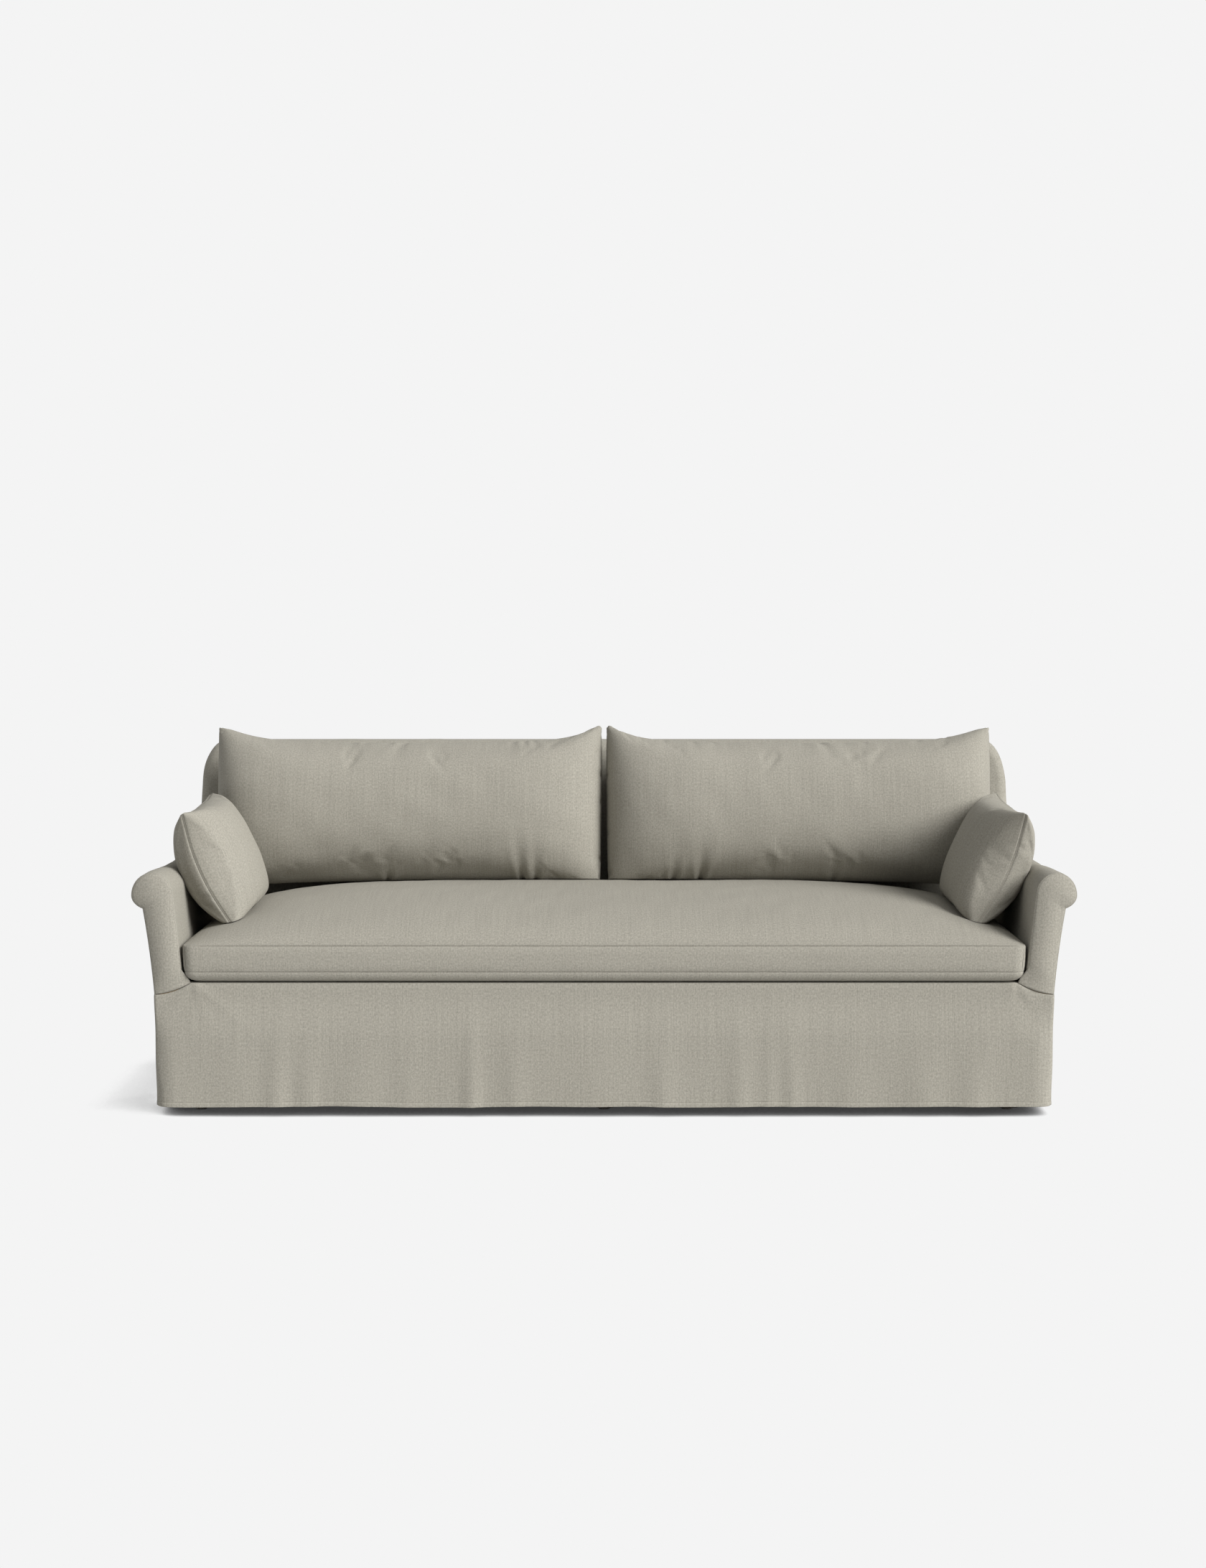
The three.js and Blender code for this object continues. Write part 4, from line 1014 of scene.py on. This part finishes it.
def shoulder(half, inset, heights, turns):
    """Right side of the back at these heights, tapered, and its round shoulder above them."""
    reach = SHOULDER_REACH - inset
    taper = WING_TAPER * np.clip((heights - ROLL_HEIGHT) / (SHOULDER_HEIGHT - ROLL_HEIGHT), 0, 1)
    angles = np.linspace(0, math.pi / 2, turns)[1:]
    x = np.concatenate([half - taper, half - WING_TAPER - reach + reach * np.cos(angles)])
    z = np.concatenate([heights, SHOULDER_HEIGHT + (SHOULDER_DROP - inset) * np.sin(angles)])
    return np.stack([x, z], 1)


def wing_path(inset):
    """Right half of the back's outline from its foot to the top's end, set inwards."""
    inset = inset - COVER_THICKNESS
    low = np.linspace(BACK_FOOT, ROLL_HEIGHT + ROLL_RADIUS, 34)
    low = np.concatenate([low[:-6], np.linspace(low[-6], low[-1], 18)])
    heights = np.concatenate([low, np.linspace(low[-1], SHOULDER_HEIGHT, 16)[1:]])
    path = shoulder(WING_HALF + WING_OUTSET - inset, inset, heights, 26)
    path[:, 0] = np.minimum(path[:, 0], arm_limit(path[:, 1], -0.002))
    return path


def whole_path(inset):
    right = wing_path(inset)
    top_x = np.linspace(-right[-1, 0], right[-1, 0], SLIP_COLUMNS)[1:-1]
    top = np.stack([top_x, np.full(len(top_x), right[-1, 1])], 1)
    return np.concatenate([right * [-1, 1], top, right[::-1]])


def back_slip():
    """Cover of the back: its sides, shoulders and top, a round front edge, and the inside back."""
    # Inset of each ring and its distance in front of the rear plane
    steps = [(0.0030, 0.0005), (0.0008, 0.0012), (0.0, SLIP_SEAM)]
    straight = BACK_THICKNESS - BACK_EDGE_RADIUS
    for share in np.linspace(0.1, 1, 9):
        steps.append((0.0, SLIP_SEAM + (straight - SLIP_SEAM) * share))
    for angle in np.radians(np.linspace(8, 90, 12)):
        inset = BACK_EDGE_RADIUS * (1 - math.cos(angle))
        steps.append((inset, straight + BACK_EDGE_RADIUS * math.sin(angle)))
    rings = np.array([ring(whole_path(inset), 1, 1, -ahead) for inset, ahead in steps])
    centre = rings.shape[1] // 2
    grid_s, grid_t = np.meshgrid(arc_lengths(whole_path(0.0)), arc_lengths(rings[:, centre]))
    rumple = 0.0012 * waves(grid_s, grid_t, 71, 0.22) * smooth((grid_t - 0.004) / 0.02)
    rings = rings + normals(rings, 5, centre) * rumple[..., None]
    cloth = Cloth().patch(rings, np.stack([grid_s, -grid_t], -1), flip=True)

    # Inside back: straight rows from side to side of the last ring
    last = rings[-1]
    rows = len(wing_path(0.0))
    left, right = last[:rows, None], last[::-1][:rows, None]
    inside = left + (right - left) * np.linspace(0, 1, SLIP_COLUMNS)[None, :, None]
    inside[-1] = last[rows - 1:rows - 1 + SLIP_COLUMNS]
    x, z = inside[..., 0], inside[..., 2]
    edge = np.minimum(np.abs(x - x[:, :1]), np.abs(x[:, -1:] - x))
    hollow = 0.0016 * waves(x, z, 73, 0.3) * smooth(edge / 0.06) * smooth((z.max() - z) / 0.05)
    flat = np.stack([x, z], -1)
    inside[..., 1] += np.abs(hollow)
    cloth.patch(inside, flat)
    slip = sewn_piece(cloth, "back_slip", "frame", "back_cover", COVER_THICKNESS)


def outside_back():
    """One panel behind the back and both arms, sewn to their covers all round."""
    inset = OUTSIDE_INSET
    low = scroll(inset, counts=(4, 90, 30))[::-1]
    low = low[: int(np.argmax(low[:, 1])) + 1]
    heights = np.linspace(low[-1, 1], SHOULDER_HEIGHT, 40)[1:]
    path = np.concatenate([low, shoulder(WING_HALF - inset, inset, heights, 50)])
    shares = spaced(1.0, 1 / 110, (0.0004, 0.0009, 0.0016, 0.0026, 0.004, 0.006)) * 2 - 1
    x = shares[None, :] * path[:, :1]
    z = np.broadcast_to(path[:, 1:], x.shape)
    edge = np.maximum(np.minimum(path[:, :1] - np.abs(x), BACK_HEIGHT - inset - z), 0)
    puff = OUTSIDE_PUFF - 0.0036 * bell(edge, 0.0022)
    puff = puff + 0.0012 * waves(x, z, 81, 0.35) * smooth(edge / 0.05)
    y = rear_y(z) + np.maximum(puff, -0.001)
    cloth = Cloth().patch(np.stack([x, y, z], -1), np.stack([-x, z], -1), flip=True)
    panel = sewn_piece(cloth, "back_panel_cloth", "frame", "outside_back_panel", PANEL_THICKNESS)


back_slip()
outside_back()


# Skirt
SKIRT_FALL = SKIRT_TOP - SKIRT_CLEARANCE
SKIRT_THICKNESS = 0.0022
SKIRT_PROUD = 0.0025
SKIRT_END = 0.050
CORNER_RADIUS = 0.005
HEM_HEIGHT = 0.0095
HEM_STEPS = (0.046, 0.0415, 0.0385, 0.0362, 0.0347, 0.0335, 0.0318, 0.0295, 0.025, 0.018, 0.010, 0.004, 0.0)
FOLD_OPENING = 1.25

# Place, width and height of each fold that opens towards the hem, in metres
FRONT_FOLDS = [
    (-0.905, 0.060, 0.0030), (-0.812, 0.030, 0.0052), (-0.732, 0.030, 0.0034), (-0.604, 0.060, 0.0034),
    (-0.489, 0.036, 0.0026), (-0.329, 0.024, 0.0050), (-0.220, 0.030, 0.0030), (-0.020, 0.070, 0.0030),
    (0.148, 0.034, 0.0040), (0.334, 0.028, 0.0036), (0.407, 0.018, 0.0018), (0.467, 0.022, 0.0030),
    (0.613, 0.044, 0.0026), (0.789, 0.050, 0.0040), (0.915, 0.045, 0.0046),
]
BACK_FOLDS = [
    (-0.86, 0.05, 0.004), (-0.55, 0.06, 0.003), (-0.21, 0.04, 0.004), (0.12, 0.06, 0.003),
    (0.43, 0.04, 0.004), (0.81, 0.05, 0.004),
]
SIDE_FOLDS = [(-0.27, 0.04, 0.003), (-0.09, 0.05, 0.003), (0.13, 0.035, 0.004), (0.28, 0.05, 0.003)]

# Direction from the arm's inner foot in degrees, length, width and height of each drawn ridge
CORNER_PULLS = [(-38, 0.110, 0.010, 0.0034), (-66, 0.090, 0.010, 0.0022), (-128, 0.070, 0.009, 0.0026)]
CORNER_PULL_X = BASE_HALF - 0.094
CORNER_PULL_Z = 0.333


def folds(along, fall, table, seed):
    """How far a hung cloth stands out of its plane."""
    total = 0.0012 * waves(along, fall * 0.3, seed, 0.42, 2) * fall
    for place, width, height in table:
        drift = place + 0.012 * math.sin(37 * place) * (1 - fall)
        open_width = width * (1.25 - 0.35 * fall)
        total = total + FOLD_OPENING * height * fall ** 1.35 * bell(along - drift, open_width)
    return total


def skirt_half(fall):
    """Half the skirt's width: drawn in a little below its seam, straight below that."""
    return BASE_HALF - 0.0016 - 0.0030 * smooth(fall / 0.35) + 0.0008 * fall ** 3


def fall_steps():
    """Shares of the fall from the seam to the hem's edge, dense at the seam and at the hem's stitches."""
    return np.concatenate([[0.0, 0.004, 0.010], np.linspace(0.02, 1 - 0.052, 34), 1 - np.array(HEM_STEPS)])


def seam_and_hem(fall):
    """How far a piece of skirt stands out for its tucked seam, its hem's fold and its stitches."""
    above_hem = (1 - fall) * SKIRT_FALL
    fold = 0.0012 * smooth((HEM_HEIGHT - above_hem + 0.0006) / 0.0012)
    stitches = 0.0017 * bell(above_hem - HEM_HEIGHT - 0.0002, 0.0009)
    return fold - stitches + 0.0004 * bell(above_hem - 0.004, 0.004) - 0.0014 * bell(fall, 0.012)


def corner_pulls(x, z):
    """Soft ridges that run from the arm's inner foot, where the cover is drawn tight."""
    from_x = CORNER_PULL_X - np.abs(x)
    from_z = z - CORNER_PULL_Z
    total = 0.0
    for direction, length, width, height in CORNER_PULLS:
        cos, sin = math.cos(math.radians(direction)), math.sin(math.radians(direction))
        along = from_x * cos + from_z * sin
        across = from_z * cos - from_x * sin
        ahead = np.maximum(along, 0) / length
        ridge = bell(across, width * (0.7 + ahead)) * np.exp(-ahead)
        total = total + height * ridge * smooth(along / 0.02)
    return total


def skirt_face(name, facing, top_at, table, seed, corner, columns, stand):
    """The front or back of the skirt between its seam and its hem, its ends turned round the corners."""
    grid_a, fall = np.meshgrid(share_steps(columns, 1.1), fall_steps())
    half = skirt_half(fall)
    radius = CORNER_RADIUS + (corner - CORNER_RADIUS) * smooth((fall - 0.55) / 0.40)
    along = grid_a * (half + radius * (math.pi / 2 - 1))
    turn = np.clip((np.abs(along) - (half - radius)) / radius, 0, math.pi / 2)
    x = np.where(turn > 0, np.sign(along) * (half - radius + radius * np.sin(turn)), along)
    low = SKIRT_CLEARANCE + 0.0022 * waves(along, 0 * along, seed + 3, 0.5, 2) + 0.001
    z = top_at(x) + (low - top_at(x)) * fall
    end = np.clip((np.abs(along) - (half - SKIRT_END)) / SKIRT_END, 0, 1)
    hang = SKIRT_FLARE * fall + stand * smooth((fall - 0.10) / 0.35) + folds(along, fall, table, seed)
    out = hang * (1 - end ** 2) + seam_and_hem(fall)
    if facing > 0:
        out = out + corner_pulls(x, z)
    back = radius * (1 - np.cos(turn))
    y = -facing * (GAP + out * np.cos(turn) + SKIRT_PROUD - back)
    x = facing * x + np.sign(facing * x) * out * np.sin(turn) * 0.3
    points = np.stack([x, y + (0 if facing > 0 else COVER_DEPTH), z], -1)
    cloth = Cloth().patch(points, np.stack([along, -fall * SKIRT_FALL], -1))
    return sewn_piece(cloth, f"skirt_{name}_cloth", "frame", f"skirt_{name}", SKIRT_THICKNESS), points


def skirt_side(name, side, fore, aft, seed):
    """The side of the skirt between the ends of its front and its back."""
    fall = fall_steps()[:, None]
    share = spaced(1.0, 1 / 90, (0.002, 0.005, 0.009, 0.014, 0.021, 0.030))[None, :]
    points = fore[:, None, :] + (aft - fore)[:, None, :] * share[..., None]
    along = points[..., 1] - points[..., 1].mean()
    edge = np.minimum(share, 1 - share)
    out = folds(along, fall, SIDE_FOLDS, seed) * smooth(edge / 0.12) - 0.0010 * bell(edge, 0.004)
    points[..., 0] += side * out
    flat = np.stack([side * along, np.broadcast_to(-fall * SKIRT_FALL, along.shape)], -1)
    cloth = Cloth().patch(points, flat, flip=side < 0)
    return sewn_piece(cloth, f"skirt_side_cloth_{name}", "frame", f"skirt_side_{name}", SKIRT_THICKNESS)


def skirts():
    front, front_points = skirt_face("front", 1, cuff_seam, FRONT_FOLDS, 91, 0.024, 560, 0.0125)
    back, back_points = skirt_face(
        "back", -1, lambda x: np.full_like(x, SKIRT_TOP - GAP), BACK_FOLDS, 95, 0.022, 440, 0.0050,
    )
    for name, side in SIDES.items():
        column = -1 if side > 0 else 0
        piece = skirt_side(name, side, front_points[:, column], back_points[:, -1 - column], 97 + side)


skirts()


# Deck, padding and dust cover: what the covers and cushions hide at rest
def laid_grid(node_name, columns, rows):
    """The box of a node and a flat grid over it."""
    low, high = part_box(node_name)
    x = np.linspace(low.x, high.x, columns)
    y = np.linspace(low.y - FRONT, high.y - FRONT, rows)
    return low, high, *np.meshgrid(x, y)


def deck_cloth():
    low, high, x, y = laid_grid("deck_cover", 140, 60)
    edge = np.minimum(y - y[0, 0], 0.03)
    dip = 0.0010 * np.abs(waves(x, y, 101, 0.3)) * smooth(edge / 0.03)
    z = high.z - 0.0002 - dip - 0.0022 * bell(edge, 0.009)
    cloth = Cloth().patch(np.stack([x, y, z], -1), np.stack([x, y], -1))
    deck = sewn_piece(cloth, "deck_cloth", "frame", "deck_cover", 0.0012)


def dust_cloth():
    low, high, x, y = laid_grid("dust_cover", 90, 40)
    u = np.sin(math.pi * (x - low.x) / (high.x - low.x))
    v = np.sin(math.pi * (y + FRONT - low.y) / (high.y - low.y))
    z = high.z - 0.0002 - 0.005 * (u * v) ** 0.6
    cloth = Cloth().patch(np.stack([x, y, z], -1), np.stack([x, y], -1))
    cover = sewn_piece(cloth, "dust_cloth", "frame", "dust_cover", 0.0008, lining)


def wad(node_name, step, seed):
    """Soft wadding in the place of a plain pad: its faces split and gently uneven."""
    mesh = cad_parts[node_name].data.copy()
    mesh.materials.clear()
    obj = linked(f"{node_name}_wadding", mesh)
    bm = bmesh.new()
    bm.from_mesh(mesh)
    bmesh.ops.remove_doubles(bm, verts=bm.verts, dist=1e-6)
    for _ in range(5):
        long = [e for e in bm.edges if e.calc_length() > step]
        if not long or len(bm.verts) > 30000:
            break
        bmesh.ops.subdivide_edges(bm, edges=long, cuts=1, use_grid_fill=True)
    bmesh.ops.triangulate(bm, faces=bm.faces)
    bm.normal_update()
    offset = Vector((seed * 3.7, seed * 1.3, seed * 2.1))
    for vert in bm.verts:
        vert.co += vert.normal * 0.0011 * (noise.noise(vert.co * 14 + offset) - 0.6)
        if node_name.startswith("arm_padding"):
            vert.co.z -= max(0.0, float(roll_dip(vert.co.y - FRONT, vert.co.z)) - 0.003)
    bm.to_mesh(mesh)
    bm.free()
    dress(obj, batting, "frame", node_name)


deck_cloth()
dust_cloth()
PADS = ["arm_padding_left", "arm_padding_right", "back_padding", "deck_pad", "seat_edge_roll"]
for index, pad in enumerate(PADS):
    wad(pad, 0.09, index + 1)

# Materials of the pieces that stay as their solids are, by how their names start
FINISHES = [
    ("leg_", stained_wood),
    ("glide_", glide_plastic),
    ("seat_springs", steel),
    (("front_rail", "back_rail", "back_top_rail", "corner_block"), frame_wood[0]),
    (("back_post", "back_stile", "arm_scroll_board"), frame_wood[2]),
    ("", frame_wood[1]),
]
for node_name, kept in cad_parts.items():
    kept.data.materials.clear()
    kept.data.materials.append(next(finish for start, finish in FINISHES if node_name.startswith(start)))
